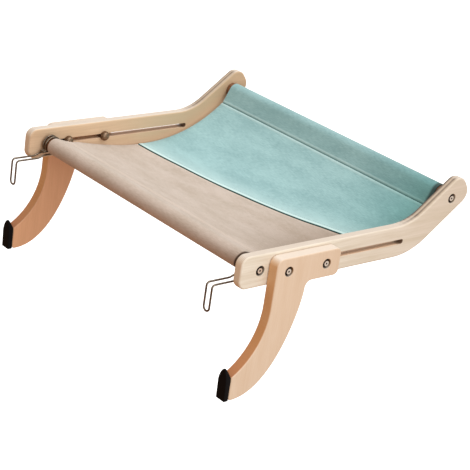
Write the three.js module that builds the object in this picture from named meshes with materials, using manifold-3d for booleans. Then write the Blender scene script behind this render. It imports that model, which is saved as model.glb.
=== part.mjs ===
// Cat window perch: two plywood side panels, two cloth-covered bars, sliding curved legs, wire sill hooks.
// Millimetres. X runs along the bars, the wall is at -Y, Z is up.
import * as THREE from 'three';
import { mergeVertices } from 'three/addons/utils/BufferGeometryUtils.js';
import Module from 'manifold-3d';

const wasm = await Module();
wasm.setup();

// Driving sizes
const panelSpan = 547;
const panelThickness = 15;
const panelHeight = 50;
const raisedHeight = 46;
const raiseAngle = THREE.MathUtils.degToRad(36);
const bendFromFrontBar = 299.6;
const rearBarFromBend = 94.4;
const wallEndReach = 36;
const raisedEndReach = 35;
const barRadius = 12;
const legThickness = 18;
const footReach = 40.5;
const footHeight = 37;
const hookReach = 68;
const hookDrop = 41;

// Clearances
const seatGap = 0.3;
const cutOverrun = 2;

// Side panel details
const panelEdgeRound = 3;
const wallCornerRadius = 14;
const raisedCornerRadius = 19;
const upperBendRadius = 90;
const lowerBendRadius = 110;
const slotStart = 21.2;
const slotEnd = 279;

// Fastener sizes
const shankRadius = 3;
const headRadius = 5;
const headHeight = 5;
const boltChamfer = 0.8;
const socketRadius = 2.9;
const socketDepth = 3.2;
const recessRadius = 7.6;
const recessDepth = 7.4;
const washerRadius = 7;
const washerThickness = 1.2;
const capNutRadius = 8;
const capNutGripLength = 4.5;
const capNutLength = 8.5;
const capNutWall = 2;
const capNutShoulder = 0.3;
const capNutThreadGap = 0.8;

// Threaded insert in each bar end
const insertRadius = 4.6;
const insertBarb = 0.6;
const insertLength = 15;
const insertBarbCount = 3;
const insertBoltGap = 1.5;
const barHoleDepth = 18;

// Leg details
const frontBoltPlace = 38;
const legBoltSpacing = 72;
const headHalfHeight = 21;
const headFrontMargin = 23.5;
const headRearMargin = 26;
const headFrontCorner = 12;
const headRearCorner = 9;
const neckWidth = 60;
const neckFillet = 11;
const legEdgeRound = 2;
const frontCurveRadius = 112;
const frontCurveDrop = 53.5;
const heelStraight = 27;
const heelPull = 83;
const footCorner = 5;
const padThickness = 9;
const padRise = 12;
const padCornerRadius = 5;
const padFaceRound = 1.5;

// Wire hook details
const wireRadius = 1.5;
const wireSpacing = 12;
const ringPitch = 4;
const ringTurn = THREE.MathUtils.degToRad(290);
const curlTurn = THREE.MathUtils.degToRad(140);
const curlRadius = 4;
const hookToPanelGap = 2;
const armKinkStart = 14;
const armKinkEnd = 30;
const armKinkDrop = 4;
const hookBendRadius = 5;

// Cloth details
const clothThickness = 2;
const clothToHookGap = 2;
const clothToNutGap = 1.5;
const flareReach = 24;
const frontSeamReach = 27;
const frontSeamRise = 4;
const rearSeamReach = 24.5;
const rearSeamDrop = 18.5;
const clothSagFront = 27;
const clothSagRear = 80;
const sagFrontReach = 110;
const sagRearReach = 100;
const middleSag = 2;
const borderMiddle = 199;
const borderSkew = 38;
const borderBow = 14.5;

// Smoothness, in counts
const arcSteps = 3;
const bendSteps = 4;
const boltSides = 16;
const barSides = 32;
const hexagonSides = 6;
const nutSides = 12;
const domeSteps = 5;
const wireSides = 8;
const ringSteps = 20;
const curlSteps = 5;
const kinkSteps = 4;
const hookTipSteps = 8;
const heelSteps = 12;
const clothStations = 12;
const sleeveSteps = 16;
const tailSteps = 9;
const heightHalvings = 30;

// Derived places
const outerFace = panelSpan / 2;
const innerFace = outerFace - panelThickness;
const slotRadius = shankRadius + seatGap;
const frontBar = new THREE.Vector2(0, 0);
const raisedWay = new THREE.Vector2(Math.cos(raiseAngle), Math.sin(raiseAngle));
const bendPoint = new THREE.Vector2(bendFromFrontBar, 0);
const rearBar = bendPoint.clone().addScaledVector(raisedWay, rearBarFromBend);
const rearBoltPlace = frontBoltPlace + legBoltSpacing;
const legInnerFace = outerFace + seatGap;
const ringRadius = barRadius + wireRadius + seatGap;
const armLevel = -ringRadius - armKinkDrop;
const hookCentre = innerFace - hookToPanelGap - wireRadius - wireSpacing / 2;
const frontSleeveWidth = 2 * (hookCentre - wireSpacing / 2 - wireRadius - clothToHookGap);
const sheetWidth = 2 * (innerFace - seatGap - capNutLength - clothToNutGap);
const sillPoint = new THREE.Vector3(0, -hookReach + wireRadius, armLevel - wireRadius);

// Shape helpers. A profile is drawn as (Y, Z) and stands across X.
const profileToWorld = new THREE.Matrix4().makeBasis(
  new THREE.Vector3(0, 1, 0),
  new THREE.Vector3(0, 0, 1),
  new THREE.Vector3(1, 0, 0),
);

function corner(y, z, radius) {
  return { at: new THREE.Vector2(y, z), radius };
}

// Lines with an arc at each corner, run in the order given
function roundedShape(corners) {
  const shape = new THREE.Shape();
  corners.forEach((here, index) => {
    const before = corners[(index + corners.length - 1) % corners.length].at;
    const after = corners[(index + 1) % corners.length].at;
    const wayIn = here.at.clone().sub(before).normalize();
    const wayOut = after.clone().sub(here.at).normalize();
    const turn = Math.atan2(wayIn.cross(wayOut), wayIn.dot(wayOut));
    const tangent = here.radius * Math.tan(Math.abs(turn) / 2);
    const start = here.at.clone().addScaledVector(wayIn, -tangent);
    const sign = Math.sign(turn);
    const centre = start.clone().add(new THREE.Vector2(-wayIn.y, wayIn.x).multiplyScalar(here.radius * sign));
    const firstAngle = Math.atan2(start.y - centre.y, start.x - centre.x);
    if (index === 0) {
      shape.moveTo(start.x, start.y);
    } else {
      shape.lineTo(start.x, start.y);
    }
    shape.absarc(centre.x, centre.y, here.radius, firstAngle, firstAngle + turn, sign < 0);
  });
  return shape;
}

function roundedRectangle(lowY, highY, lowZ, highZ, radius) {
  return roundedShape([
    corner(lowY, lowZ, radius),
    corner(highY, lowZ, radius),
    corner(highY, highZ, radius),
    corner(lowY, highZ, radius),
  ]);
}

// A flat board with rounded edges, from lowX to highX
function board(shape, lowX, highX, edgeRound, curveSegments) {
  const geometry = new THREE.ExtrudeGeometry(shape, {
    depth: highX - lowX - 2 * edgeRound,
    curveSegments,
    bevelEnabled: edgeRound > 0,
    bevelThickness: edgeRound,
    bevelSize: edgeRound,
    bevelOffset: -edgeRound,
    bevelSegments: 2,
  });
  geometry.translate(0, 0, lowX + edgeRound);
  return geometry.applyMatrix4(profileToWorld);
}

function cylinderAlongX(radius, fromX, toX, y, z, sides) {
  const geometry = new THREE.CylinderGeometry(radius, radius, Math.abs(toX - fromX), sides);
  geometry.rotateZ(Math.PI / 2);
  geometry.translate((fromX + toX) / 2, y, z);
  return geometry;
}

// Boolean helpers
function solid(geometry) {
  const bare = geometry.clone();
  bare.deleteAttribute('normal');
  bare.deleteAttribute('uv');
  const merged = mergeVertices(bare);
  const vertProperties = new Float32Array(merged.attributes.position.array);
  const triVerts = new Uint32Array(merged.index.array);
  return new wasm.Manifold(new wasm.Mesh({ numProp: 3, vertProperties, triVerts }));
}

function asGeometry(manifold) {
  const mesh = manifold.getMesh();
  const result = new THREE.BufferGeometry();
  result.setAttribute('position', new THREE.BufferAttribute(new Float32Array(mesh.vertProperties), 3));
  result.setIndex(new THREE.BufferAttribute(new Uint32Array(mesh.triVerts), 1));
  return result;
}

function cutAway(geometry, cutters) {
  return asGeometry(cutters.reduce((body, cutter) => body.subtract(solid(cutter)), solid(geometry)));
}

// A turned piece on an axis along X; profile pairs are (distance along the axis, radius)
function turned(profile, sides, startX, side, y, z) {
  const points = profile.map(([along, radius]) => new THREE.Vector2(radius, along));
  const geometry = new THREE.LatheGeometry(points, sides);
  geometry.rotateZ(-side * Math.PI / 2);
  geometry.translate(startX, y, z);
  return geometry;
}

// Materials
function material(color, roughness, metalness = 0) {
  return new THREE.MeshStandardMaterial({ color, roughness, metalness });
}

const paint = {
  plywood: () => material(0xdcc8ae, 0.62),
  plywoodBar: () => material(0x8c5f3d, 0.6),
  legWood: () => material(0xdfbf9f, 0.55),
  rubber: () => material(0x0d0b0c, 0.85),
  screwSteel: () => material(0xb9b7b0, 0.35, 0.9),
  blackSteel: () => material(0x1c1714, 0.5, 0.7),
  wireSteel: () => material(0x8f8878, 0.3, 0.95),
  brass: () => material(0xb5934f, 0.4, 0.9),
  beigeCloth: () => material(0xd5c6b8, 0.92),
  blueCloth: () => material(0x96bfc0, 0.9),
};

const perch = new THREE.Group();
perch.position.copy(sillPoint).negate();

function addPiece(name, geometry, look, parent = perch) {
  const mesh = new THREE.Mesh(geometry, look());
  mesh.name = name;
  parent.add(mesh);
}

// Side panels
function panelOutline() {
  const half = panelHeight / 2;
  const raisedHalf = raisedHeight / 2;
  const across = new THREE.Vector2(-raisedWay.y, raisedWay.x);
  const shift = (half - raisedHalf * raisedWay.x) / raisedWay.y;
  const upperBend = bendPoint.clone().addScaledVector(across, raisedHalf).addScaledVector(raisedWay, shift);
  const lowerBend = bendPoint.clone().addScaledVector(across, -raisedHalf).addScaledVector(raisedWay, -shift);
  const tip = rearBar.clone().addScaledVector(raisedWay, raisedEndReach);
  const upperTip = tip.clone().addScaledVector(across, raisedHalf);
  const lowerTip = tip.clone().addScaledVector(across, -raisedHalf);
  return roundedShape([
    corner(-wallEndReach, -half, wallCornerRadius),
    corner(lowerBend.x, lowerBend.y, lowerBendRadius),
    corner(lowerTip.x, lowerTip.y, raisedCornerRadius),
    corner(upperTip.x, upperTip.y, raisedCornerRadius),
    corner(upperBend.x, upperBend.y, upperBendRadius),
    corner(-wallEndReach, half, wallCornerRadius),
  ]);
}

function boltHole(side, y, z, seatFace) {
  const through = cylinderAlongX(slotRadius, side * (innerFace - cutOverrun), side * (seatFace + cutOverrun),
    y, z, boltSides);
  const recess = cylinderAlongX(recessRadius, side * (seatFace - recessDepth), side * (seatFace + cutOverrun),
    y, z, boltSides);
  return [through, recess];
}

function sidePanel(side) {
  const slot = roundedRectangle(slotStart, slotEnd, -slotRadius, slotRadius, slotRadius);
  const lowX = Math.min(side * innerFace, side * outerFace);
  const highX = Math.max(side * innerFace, side * outerFace);
  const blank = board(panelOutline(), lowX, highX, panelEdgeRound, bendSteps);
  return cutAway(blank, [
    board(slot, lowX - cutOverrun, highX + cutOverrun, 0, arcSteps),
    ...boltHole(side, frontBar.x, frontBar.y, outerFace),
    ...boltHole(side, rearBar.x, rearBar.y, outerFace),
  ]);
}

// Bars, with a blind hole in each end for the threaded insert
const barEnd = innerFace - seatGap;

function bar(centre) {
  const holes = [-1, 1].map((side) => cylinderAlongX(insertRadius + insertBarb + seatGap,
    side * (barEnd - barHoleDepth), side * (barEnd + cutOverrun), centre.x, centre.y, boltSides));
  const rod = cylinderAlongX(barRadius, -barEnd, barEnd, centre.x, centre.y, barSides);
  return cutAway(rod, holes);
}

function threadedInsert(side, centre) {
  const bore = slotRadius;
  const pitch = insertLength / insertBarbCount;
  const profile = [[0, bore]];
  for (let barb = 0; barb < insertBarbCount; barb += 1) {
    profile.push([barb * pitch, insertRadius + insertBarb]);
    profile.push([(barb + 1) * pitch, insertRadius]);
  }
  profile.push([insertLength, bore]);
  profile.push([0, bore]);
  return turned(profile, boltSides, side * (barEnd - insertLength), side, centre.x, centre.y);
}

// Bolts with a hexagon socket, their head under the outer face at seatFace, and the washer below
const washerSeat = recessDepth - seatGap - washerThickness;
const headSeat = washerSeat - seatGap;

function washer(side, y, z, seatFace) {
  const inner = slotRadius;
  const profile = [[0, inner], [0, washerRadius], [washerThickness, washerRadius], [washerThickness, inner],
    [0, inner]];
  return turned(profile, boltSides, side * (seatFace - washerSeat - washerThickness), side, y, z);
}

function bolt(side, y, z, seatFace, tipX) {
  const underHead = seatFace - headSeat;
  const profile = [
    [0, 0],
    [0, shankRadius - boltChamfer],
    [boltChamfer, shankRadius],
    [underHead - tipX, shankRadius],
    [underHead - tipX, headRadius],
    [underHead - tipX + headHeight - boltChamfer, headRadius],
    [underHead - tipX + headHeight, headRadius - boltChamfer],
    [underHead - tipX + headHeight, 0],
  ];
  const blank = turned(profile, boltSides, side * tipX, side, y, z);
  const socket = cylinderAlongX(socketRadius, side * (underHead + headHeight - socketDepth),
    side * (underHead + headHeight + cutOverrun), y, z, hexagonSides);
  return cutAway(blank, [socket]);
}

// Cap nut against the panel's inner face: a wide grip for the fingers, then a dome; the bolt ends inside it
function capNut(side, y, z) {
  const seat = innerFace - seatGap;
  const domeRadius = capNutRadius * Math.cos(Math.PI / nutSides) - capNutShoulder;
  const domeHeight = capNutLength - capNutGripLength;
  const profile = [[0, 0]];
  for (let step = 0; step <= domeSteps; step += 1) {
    const angle = (Math.PI / 2) * (step / domeSteps);
    profile.push([domeHeight * (1 - Math.cos(angle)), domeRadius * Math.sin(angle)]);
  }
  profile.push([domeHeight + capNutGripLength / 2, domeRadius]);
  profile.push([domeHeight + capNutGripLength / 2, 0]);
  const dome = turned(profile, boltSides, side * (seat - capNutLength), side, y, z);
  const grip = cylinderAlongX(capNutRadius, side * (seat - capNutGripLength), side * seat, y, z, nutSides);
  const bore = cylinderAlongX(slotRadius, side * (seat - capNutLength + capNutWall), side * (seat + cutOverrun),
    y, z, boltSides);
  return asGeometry(solid(grip).add(solid(dome)).subtract(solid(bore)));
}

// Legs: a bolted head, a front edge on an arc and a fuller rear edge down to the foot
const headFront = frontBoltPlace - headFrontMargin;
const headRear = rearBoltPlace + headRearMargin;
const neckRear = headFront + neckWidth;
const frontCurveCentre = headFront - frontCurveRadius;
const toeAngle = Math.acos((-footReach - frontCurveCentre) / frontCurveRadius);
const toeHeight = -frontCurveDrop - frontCurveRadius * Math.sin(toeAngle);
const footBottom = toeHeight - footHeight;

function legOutline() {
  const shape = new THREE.Shape();
  const top = headHalfHeight;
  const right = Math.PI / 2;
  shape.moveTo(headFront, -frontCurveDrop);
  shape.absarc(frontCurveCentre, -frontCurveDrop, frontCurveRadius, 0, -toeAngle, true);
  shape.lineTo(-footReach, footBottom + footCorner);
  shape.absarc(-footReach + footCorner, footBottom + footCorner, footCorner, 2 * right, 3 * right, false);
  const heel = new THREE.CubicBezierCurve(
    new THREE.Vector2(-footReach + footCorner, footBottom),
    new THREE.Vector2(-footReach + heelPull, footBottom),
    new THREE.Vector2(neckRear, -top - neckFillet - heelStraight),
    new THREE.Vector2(neckRear, -top - neckFillet),
  );
  heel.getPoints(heelSteps).slice(1).forEach((point) => shape.lineTo(point.x, point.y));
  shape.absarc(neckRear + neckFillet, -top - neckFillet, neckFillet, 2 * right, right, true);
  shape.lineTo(headRear - headRearCorner, -top);
  shape.absarc(headRear - headRearCorner, -top + headRearCorner, headRearCorner, -right, 0, false);
  shape.lineTo(headRear, top - headRearCorner);
  shape.absarc(headRear - headRearCorner, top - headRearCorner, headRearCorner, 0, right, false);
  shape.lineTo(headFront + headFrontCorner, top);
  shape.absarc(headFront + headFrontCorner, top - headFrontCorner, headFrontCorner, right, 2 * right, false);
  return shape;
}

const legOuterFace = legInnerFace + legThickness;

function leg(side) {
  const lowX = Math.min(side * legInnerFace, side * legOuterFace);
  const highX = Math.max(side * legInnerFace, side * legOuterFace);
  const blank = board(legOutline(), lowX, highX, legEdgeRound, bendSteps);
  return cutAway(blank, [
    ...boltHole(side, frontBoltPlace, 0, legOuterFace),
    ...boltHole(side, rearBoltPlace, 0, legOuterFace),
  ]);
}

// Rubber pad on the foot's end, drawn across the leg and laid against the wall side
function footPad(side) {
  const lowX = Math.min(side * legInnerFace, side * legOuterFace);
  const shape = roundedRectangle(lowX, lowX + legThickness, footBottom, toeHeight + padRise, padCornerRadius);
  const geometry = new THREE.ExtrudeGeometry(shape, {
    depth: padThickness - 2 * padFaceRound,
    curveSegments: 2,
    bevelEnabled: true,
    bevelThickness: padFaceRound,
    bevelSize: padFaceRound,
    bevelOffset: -padFaceRound,
    bevelSegments: 2,
  });
  geometry.rotateX(Math.PI / 2);
  geometry.translate(0, -footReach - seatGap - padFaceRound, 0);
  return geometry;
}

// A wire's path through listed points, so that each point is one step of the sweep
class WirePath extends THREE.Curve {
  constructor(points) {
    super();
    this.points = points;
  }

  getPoint(share) {
    const place = share * (this.points.length - 1);
    const first = Math.min(Math.floor(place + Number.EPSILON * this.points.length), this.points.length - 2);
    return this.points[first].clone().lerp(this.points[first + 1], place - first);
  }

  getPointAt(share) {
    return this.getPoint(share);
  }

  getTangentAt(share) {
    const step = 1 / (this.points.length - 1);
    const before = this.getPoint(Math.max(0, share - step));
    return this.getPoint(Math.min(1, share + step)).sub(before).normalize();
  }
}

// Half of a hook's wire as (X off the hook's middle, Y, Z): curled end, ring round the bar, arm, bend
function hookHalf() {
  const points = [];
  const place = (y, z, wound) => {
    points.push(new THREE.Vector3(wireSpacing / 2 - ringPitch * wound / (2 * Math.PI), y, z));
  };
  const right = Math.PI / 2;
  const ringStart = ringTurn - right;
  const outward = new THREE.Vector2(Math.cos(ringStart), Math.sin(ringStart));
  const curlCentre = outward.clone().multiplyScalar(ringRadius + curlRadius);
  for (let step = curlSteps; step > 0; step -= 1) {
    const arm = outward.clone().multiplyScalar(-curlRadius);
    arm.rotateAround(frontBar, -curlTurn * step / curlSteps);
    place(curlCentre.x + arm.x, curlCentre.y + arm.y, ringTurn);
  }
  const steps = Math.round(ringSteps * ringTurn / (2 * Math.PI));
  for (let step = 0; step <= steps; step += 1) {
    const wound = ringTurn * (1 - step / steps);
    place(ringRadius * Math.cos(wound - right), ringRadius * Math.sin(wound - right), wound);
  }
  for (let step = 0; step <= kinkSteps; step += 1) {
    const share = step / kinkSteps;
    const eased = (1 - Math.cos(Math.PI * share)) / 2;
    place(-armKinkStart - (armKinkEnd - armKinkStart) * share, -ringRadius - armKinkDrop * eased, 0);
  }
  for (let step = 0; step <= bendSteps; step += 1) {
    const angle = right * (1 + step / bendSteps);
    place(-hookReach + hookBendRadius + hookBendRadius * Math.cos(angle),
      armLevel - hookBendRadius + hookBendRadius * Math.sin(angle), 0);
  }
  return points;
}

function wireHook(side) {
  const half = hookHalf();
  const tipRadius = wireSpacing / 2;
  const tipCentre = armLevel - hookDrop + tipRadius;
  const tip = [];
  for (let step = 0; step <= hookTipSteps; step += 1) {
    const angle = Math.PI * step / hookTipSteps;
    const z = tipCentre - tipRadius * Math.sin(angle);
    tip.push(new THREE.Vector3(tipRadius * Math.cos(angle), -hookReach, z));
  }
  const otherHalf = half.map((point) => new THREE.Vector3(-point.x, point.y, point.z)).reverse();
  const points = [...half, ...tip, ...otherHalf];
  const section = new THREE.Shape();
  for (let point = 0; point < wireSides; point += 1) {
    const angle = 2 * Math.PI * point / wireSides;
    const way = point === 0 ? 'moveTo' : 'lineTo';
    section[way](wireRadius * Math.cos(angle), wireRadius * Math.sin(angle));
  }
  const geometry = new THREE.ExtrudeGeometry(section, {
    steps: points.length - 1,
    bevelEnabled: false,
    extrudePath: new WirePath(points),
  });
  geometry.translate(side * hookCentre, 0, 0);
  return geometry;
}

// Cloth: a drop-shaped sleeve round each bar, closed at a seam, and the sheet that sags between
const sleeveInner = barRadius + seatGap;
const sleeveOuter = sleeveInner + clothThickness;
const frontSeam = frontBar.clone().add(new THREE.Vector2(frontSeamReach, frontSeamRise));
const rearSeam = rearBar.clone().sub(new THREE.Vector2(rearSeamReach, rearSeamDrop));
const sagCurve = new THREE.CubicBezierCurve(
  frontSeam,
  frontSeam.clone().add(new THREE.Vector2(sagFrontReach, -clothSagFront)),
  rearSeam.clone().add(new THREE.Vector2(-sagRearReach, -clothSagRear)),
  rearSeam,
);

// The sheet's height at a place, found by halving the curve's range. Across runs from -1 to 1 over the width.
function sheetHeight(across, y) {
  let low = 0;
  let high = 1;
  for (let halving = 0; halving < heightHalvings; halving += 1) {
    const middle = (low + high) / 2;
    if (sagCurve.getPoint(middle).x < y) {
      low = middle;
    } else {
      high = middle;
    }
  }
  const along = THREE.MathUtils.clamp((y - frontSeam.x) / (rearSeam.x - frontSeam.x), 0, 1);
  return sagCurve.getPoint(low).y - middleSag * Math.sin(Math.PI * along) * (1 - across * across);
}

function borderPlace(across) {
  return borderMiddle + borderSkew * across + borderBow * across * across;
}

// The front sheet is narrow at its sleeve, between the hooks, and widens behind it
function clothWidth(y, sleeveWidth) {
  const share = THREE.MathUtils.smoothstep(y, frontSeam.x, frontSeam.x + flareReach);
  return THREE.MathUtils.lerp(sleeveWidth, sheetWidth, share);
}

function clothSection(across, barCentre, seam, borderGap) {
  const toSeam = seam.clone().sub(barCentre);
  const axis = toSeam.angle();
  const half = Math.acos(sleeveOuter / toSeam.length());
  const outer = [];
  const inner = [];
  for (let step = 0; step <= sleeveSteps; step += 1) {
    const angle = axis + half + (2 * Math.PI - 2 * half) * step / sleeveSteps;
    const way = new THREE.Vector2(Math.cos(angle), Math.sin(angle));
    outer.push(barCentre.clone().addScaledVector(way, sleeveOuter));
    inner.push(barCentre.clone().addScaledVector(way, sleeveInner));
  }
  inner.push(barCentre.clone().addScaledVector(toSeam, sleeveInner / sleeveOuter));
  const end = borderPlace(across) + borderGap;
  const below = [];
  const above = [];
  for (let step = 0; step <= tailSteps; step += 1) {
    const y = THREE.MathUtils.lerp(seam.x, end, step / tailSteps);
    const ahead = Math.sign(end - seam.x) * clothThickness / 2;
    const climb = sheetHeight(across, y + ahead) - sheetHeight(across, y - ahead);
    const slope = new THREE.Vector2(ahead * 2, climb).normalize();
    const rightward = new THREE.Vector2(slope.y, -slope.x).multiplyScalar(clothThickness / 2);
    const middle = new THREE.Vector2(y, sheetHeight(across, y));
    below.push(middle.clone().add(rightward));
    above.unshift(middle.clone().sub(rightward));
  }
  outer.push(...below, ...above);
  return { outer, inner };
}

function cloth(barCentre, seam, sleeveWidth, borderGap) {
  const positions = [];
  const triangles = [];
  const sections = [];
  for (let station = 0; station <= clothStations; station += 1) {
    const across = 2 * station / clothStations - 1;
    const section = clothSection(across, barCentre, seam, borderGap);
    sections.push(section);
    [...section.outer, ...section.inner].forEach((point) => {
      positions.push(across * clothWidth(point.x, sleeveWidth) / 2, point.x, point.y);
    });
  }
  const { outer, inner } = sections[0];
  const ring = outer.length + inner.length;
  const loops = [[0, outer.length, false], [outer.length, inner.length, true]];
  for (let station = 0; station < clothStations; station += 1) {
    loops.forEach(([first, count, flipped]) => {
      for (let index = 0; index < count; index += 1) {
        const here = station * ring + first + index;
        const next = station * ring + first + (index + 1) % count;
        const faces = [[here, next, next + ring], [here, next + ring, here + ring]];
        faces.forEach((face) => triangles.push(...(flipped ? face.reverse() : face)));
      }
    });
  }
  [0, clothStations].forEach((station) => {
    const section = sections[station];
    const faces = THREE.ShapeUtils.triangulateShape([...section.outer], [[...section.inner].reverse()]);
    const innerPlaces = [...inner.keys()].reverse().map((place) => place + outer.length);
    const places = [...outer.keys(), ...innerPlaces];
    faces.forEach((face) => {
      const corners = face.map((index) => station * ring + places[index]);
      triangles.push(...(station === 0 ? corners.reverse() : corners));
    });
  });
  const geometry = new THREE.BufferGeometry();
  geometry.setAttribute('position', new THREE.Float32BufferAttribute(positions, 3));
  geometry.setIndex(triangles);
  return geometry;
}

// The assembly
const barBoltTip = barEnd - insertLength + insertBoltGap;
const legBoltTip = innerFace - seatGap - capNutLength + capNutWall + capNutThreadGap;

addPiece('front_bar', bar(frontBar), paint.plywoodBar);
addPiece('rear_bar', bar(rearBar), paint.plywoodBar);
addPiece('front_cloth', cloth(frontBar, frontSeam, frontSleeveWidth, -seatGap / 2), paint.beigeCloth);
addPiece('rear_cloth', cloth(rearBar, rearSeam, sheetWidth, seatGap / 2), paint.blueCloth);

for (const [word, side] of [['left', -1], ['right', 1]]) {
  addPiece(`side_panel_${word}`, sidePanel(side), paint.plywood);
  for (const [place, centre] of [['front', frontBar], ['rear', rearBar]]) {
    addPiece(`bar_bolt_${place}_${word}`, bolt(side, centre.x, centre.y, outerFace, barBoltTip),
      paint.screwSteel);
    addPiece(`bar_washer_${place}_${word}`, washer(side, centre.x, centre.y, outerFace), paint.blackSteel);
    addPiece(`bar_insert_${place}_${word}`, threadedInsert(side, centre), paint.brass);
  }

  const slidingLeg = new THREE.Group();
  perch.add(slidingLeg);
  addPiece(`leg_${word}`, leg(side), paint.legWood, slidingLeg);
  addPiece(`foot_pad_${word}`, footPad(side), paint.rubber, slidingLeg);
  for (const [place, y] of [['front', frontBoltPlace], ['rear', rearBoltPlace]]) {
    addPiece(`leg_bolt_${place}_${word}`, bolt(side, y, 0, legOuterFace, legBoltTip), paint.screwSteel,
      slidingLeg);
    addPiece(`leg_washer_${place}_${word}`, washer(side, y, 0, legOuterFace), paint.blackSteel, slidingLeg);
    addPiece(`leg_cap_nut_${place}_${word}`, capNut(side, y, 0), paint.screwSteel, slidingLeg);
  }

  const turningHook = new THREE.Group();
  perch.add(turningHook);
  addPiece(`sill_hook_${word}`, wireHook(side), paint.wireSteel, turningHook);
}

export default perch;
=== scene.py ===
import math

import bmesh
import bpy
from mathutils import Matrix, Vector, noise


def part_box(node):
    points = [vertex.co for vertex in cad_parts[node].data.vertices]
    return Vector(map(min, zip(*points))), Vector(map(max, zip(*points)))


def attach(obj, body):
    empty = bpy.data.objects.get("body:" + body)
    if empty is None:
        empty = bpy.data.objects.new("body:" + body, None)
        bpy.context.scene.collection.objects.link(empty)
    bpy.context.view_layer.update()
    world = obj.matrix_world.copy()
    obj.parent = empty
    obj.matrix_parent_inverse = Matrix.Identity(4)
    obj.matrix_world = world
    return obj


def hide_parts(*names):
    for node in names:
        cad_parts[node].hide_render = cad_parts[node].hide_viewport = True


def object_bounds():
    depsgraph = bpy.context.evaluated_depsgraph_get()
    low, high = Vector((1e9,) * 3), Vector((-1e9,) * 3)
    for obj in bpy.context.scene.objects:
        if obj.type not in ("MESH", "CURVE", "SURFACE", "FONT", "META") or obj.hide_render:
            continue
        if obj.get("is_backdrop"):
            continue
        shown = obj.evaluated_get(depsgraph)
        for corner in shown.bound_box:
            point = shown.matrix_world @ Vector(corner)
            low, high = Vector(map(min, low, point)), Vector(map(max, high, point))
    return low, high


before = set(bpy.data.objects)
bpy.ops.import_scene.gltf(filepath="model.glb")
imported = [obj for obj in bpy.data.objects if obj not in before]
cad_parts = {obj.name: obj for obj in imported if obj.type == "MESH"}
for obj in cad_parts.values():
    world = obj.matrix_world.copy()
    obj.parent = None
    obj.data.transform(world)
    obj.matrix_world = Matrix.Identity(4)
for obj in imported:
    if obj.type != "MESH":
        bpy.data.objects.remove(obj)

cadLow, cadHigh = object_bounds()

mm = 0.001
right = math.pi / 2
sides = {"left": -1, "right": 1}
barNames = ("front", "rear")


def middleOf(node):
    low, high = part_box(node)
    return (low + high) / 2


frontBarAt = middleOf("front_bar")
rearBarAt = middleOf("rear_bar")
rearBarOffset = Vector(((rearBarAt.y - frontBarAt.y) / mm, (rearBarAt.z - frontBarAt.z) / mm))


def linear(hexColour):
    parts = [int(hexColour[place:place + 2], 16) / 255 for place in (1, 3, 5)]
    return tuple(p / 12.92 if p <= 0.04045 else ((p + 0.055) / 1.055) ** 2.4 for p in parts) + (1.0,)


def addNode(tree, kind, inputs=None, **settings):
    # one node with its settings; an input is a value, a socket, a node for its first output, or a list of nodes
    node = tree.nodes.new(kind)
    for name, value in settings.items():
        setattr(node, name, value)
    for socket, given in (inputs or {}).items():
        for value in given if isinstance(given, list) else [given]:
            if isinstance(value, bpy.types.Node):
                value = value.outputs[0]
            if isinstance(value, bpy.types.NodeSocket):
                tree.links.new(value, node.inputs[socket])
            else:
                node.inputs[socket].default_value = value
    return node


def newMaterial(name):
    material = bpy.data.materials.new(name)
    material.use_nodes = True
    material.node_tree.nodes.clear()
    return material, material.node_tree


def finishMaterial(material, look, colour, height, depth, inputs):
    # the shader: its colour, a bump of the given depth in millimetres, and its other inputs
    tree = material.node_tree
    bump = addNode(tree, "ShaderNodeBump", {"Height": height, "Strength": look["bump"], "Distance": depth * mm})
    surface = addNode(tree, "ShaderNodeBsdfPrincipled", {"Base Color": colour, "Normal": bump, **inputs})
    addNode(tree, "ShaderNodeOutputMaterial", {"Surface": surface})
    return material


def newObject(name, data):
    made = bpy.data.objects.new(name, data)
    bpy.context.scene.collection.objects.link(made)
    return made


def objectFromBmesh(name, shape):
    mesh = bpy.data.meshes.new(name)
    shape.to_mesh(mesh)
    shape.free()
    return newObject(name, mesh)


def plainMesh(host, name):
    # the host's modifiers go into a plain mesh, and the host goes away
    bpy.context.view_layer.update()
    depsgraph = bpy.context.evaluated_depsgraph_get()
    mesh = bpy.data.meshes.new_from_object(host.evaluated_get(depsgraph), depsgraph=depsgraph)
    bpy.data.objects.remove(host)
    mesh.name = name
    return newObject(name, mesh)


def smoothShaded(piece, sharpAngle):
    piece.data.shade_smooth()
    piece.data.set_sharp_from_angle(angle=math.radians(sharpAngle))
    return piece


def dress(piece, finish, slotName, body, *nodes):
    piece.data.materials.clear()
    piece.data.materials.append(finishOf[finish])
    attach(piece, body)
    if nodes:
        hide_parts(*nodes)
    return piece


def clamp(value):
    return min(max(value, 0), 1)


def polar(turn, radius):
    return Vector((math.cos(turn), math.sin(turn))) * radius


def spread(first, last, count):
    return [first + (last - first) * step / count for step in range(count)]


def shares(count):
    return [step / count for step in range(count + 1)]


# Outlines are drawn as (y, z) in millimetres from the front bar's axis, anticlockwise as seen from +X
def arcPoints(centre, radius, fromAngle, toAngle, stepAngle=6):
    count = max(2, math.ceil(abs(toAngle - fromAngle) / math.radians(stepAngle)))
    turns = [fromAngle + (toAngle - fromAngle) * step / count for step in range(count + 1)]
    return [Vector(centre) + polar(turn, radius) for turn in turns]


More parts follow.
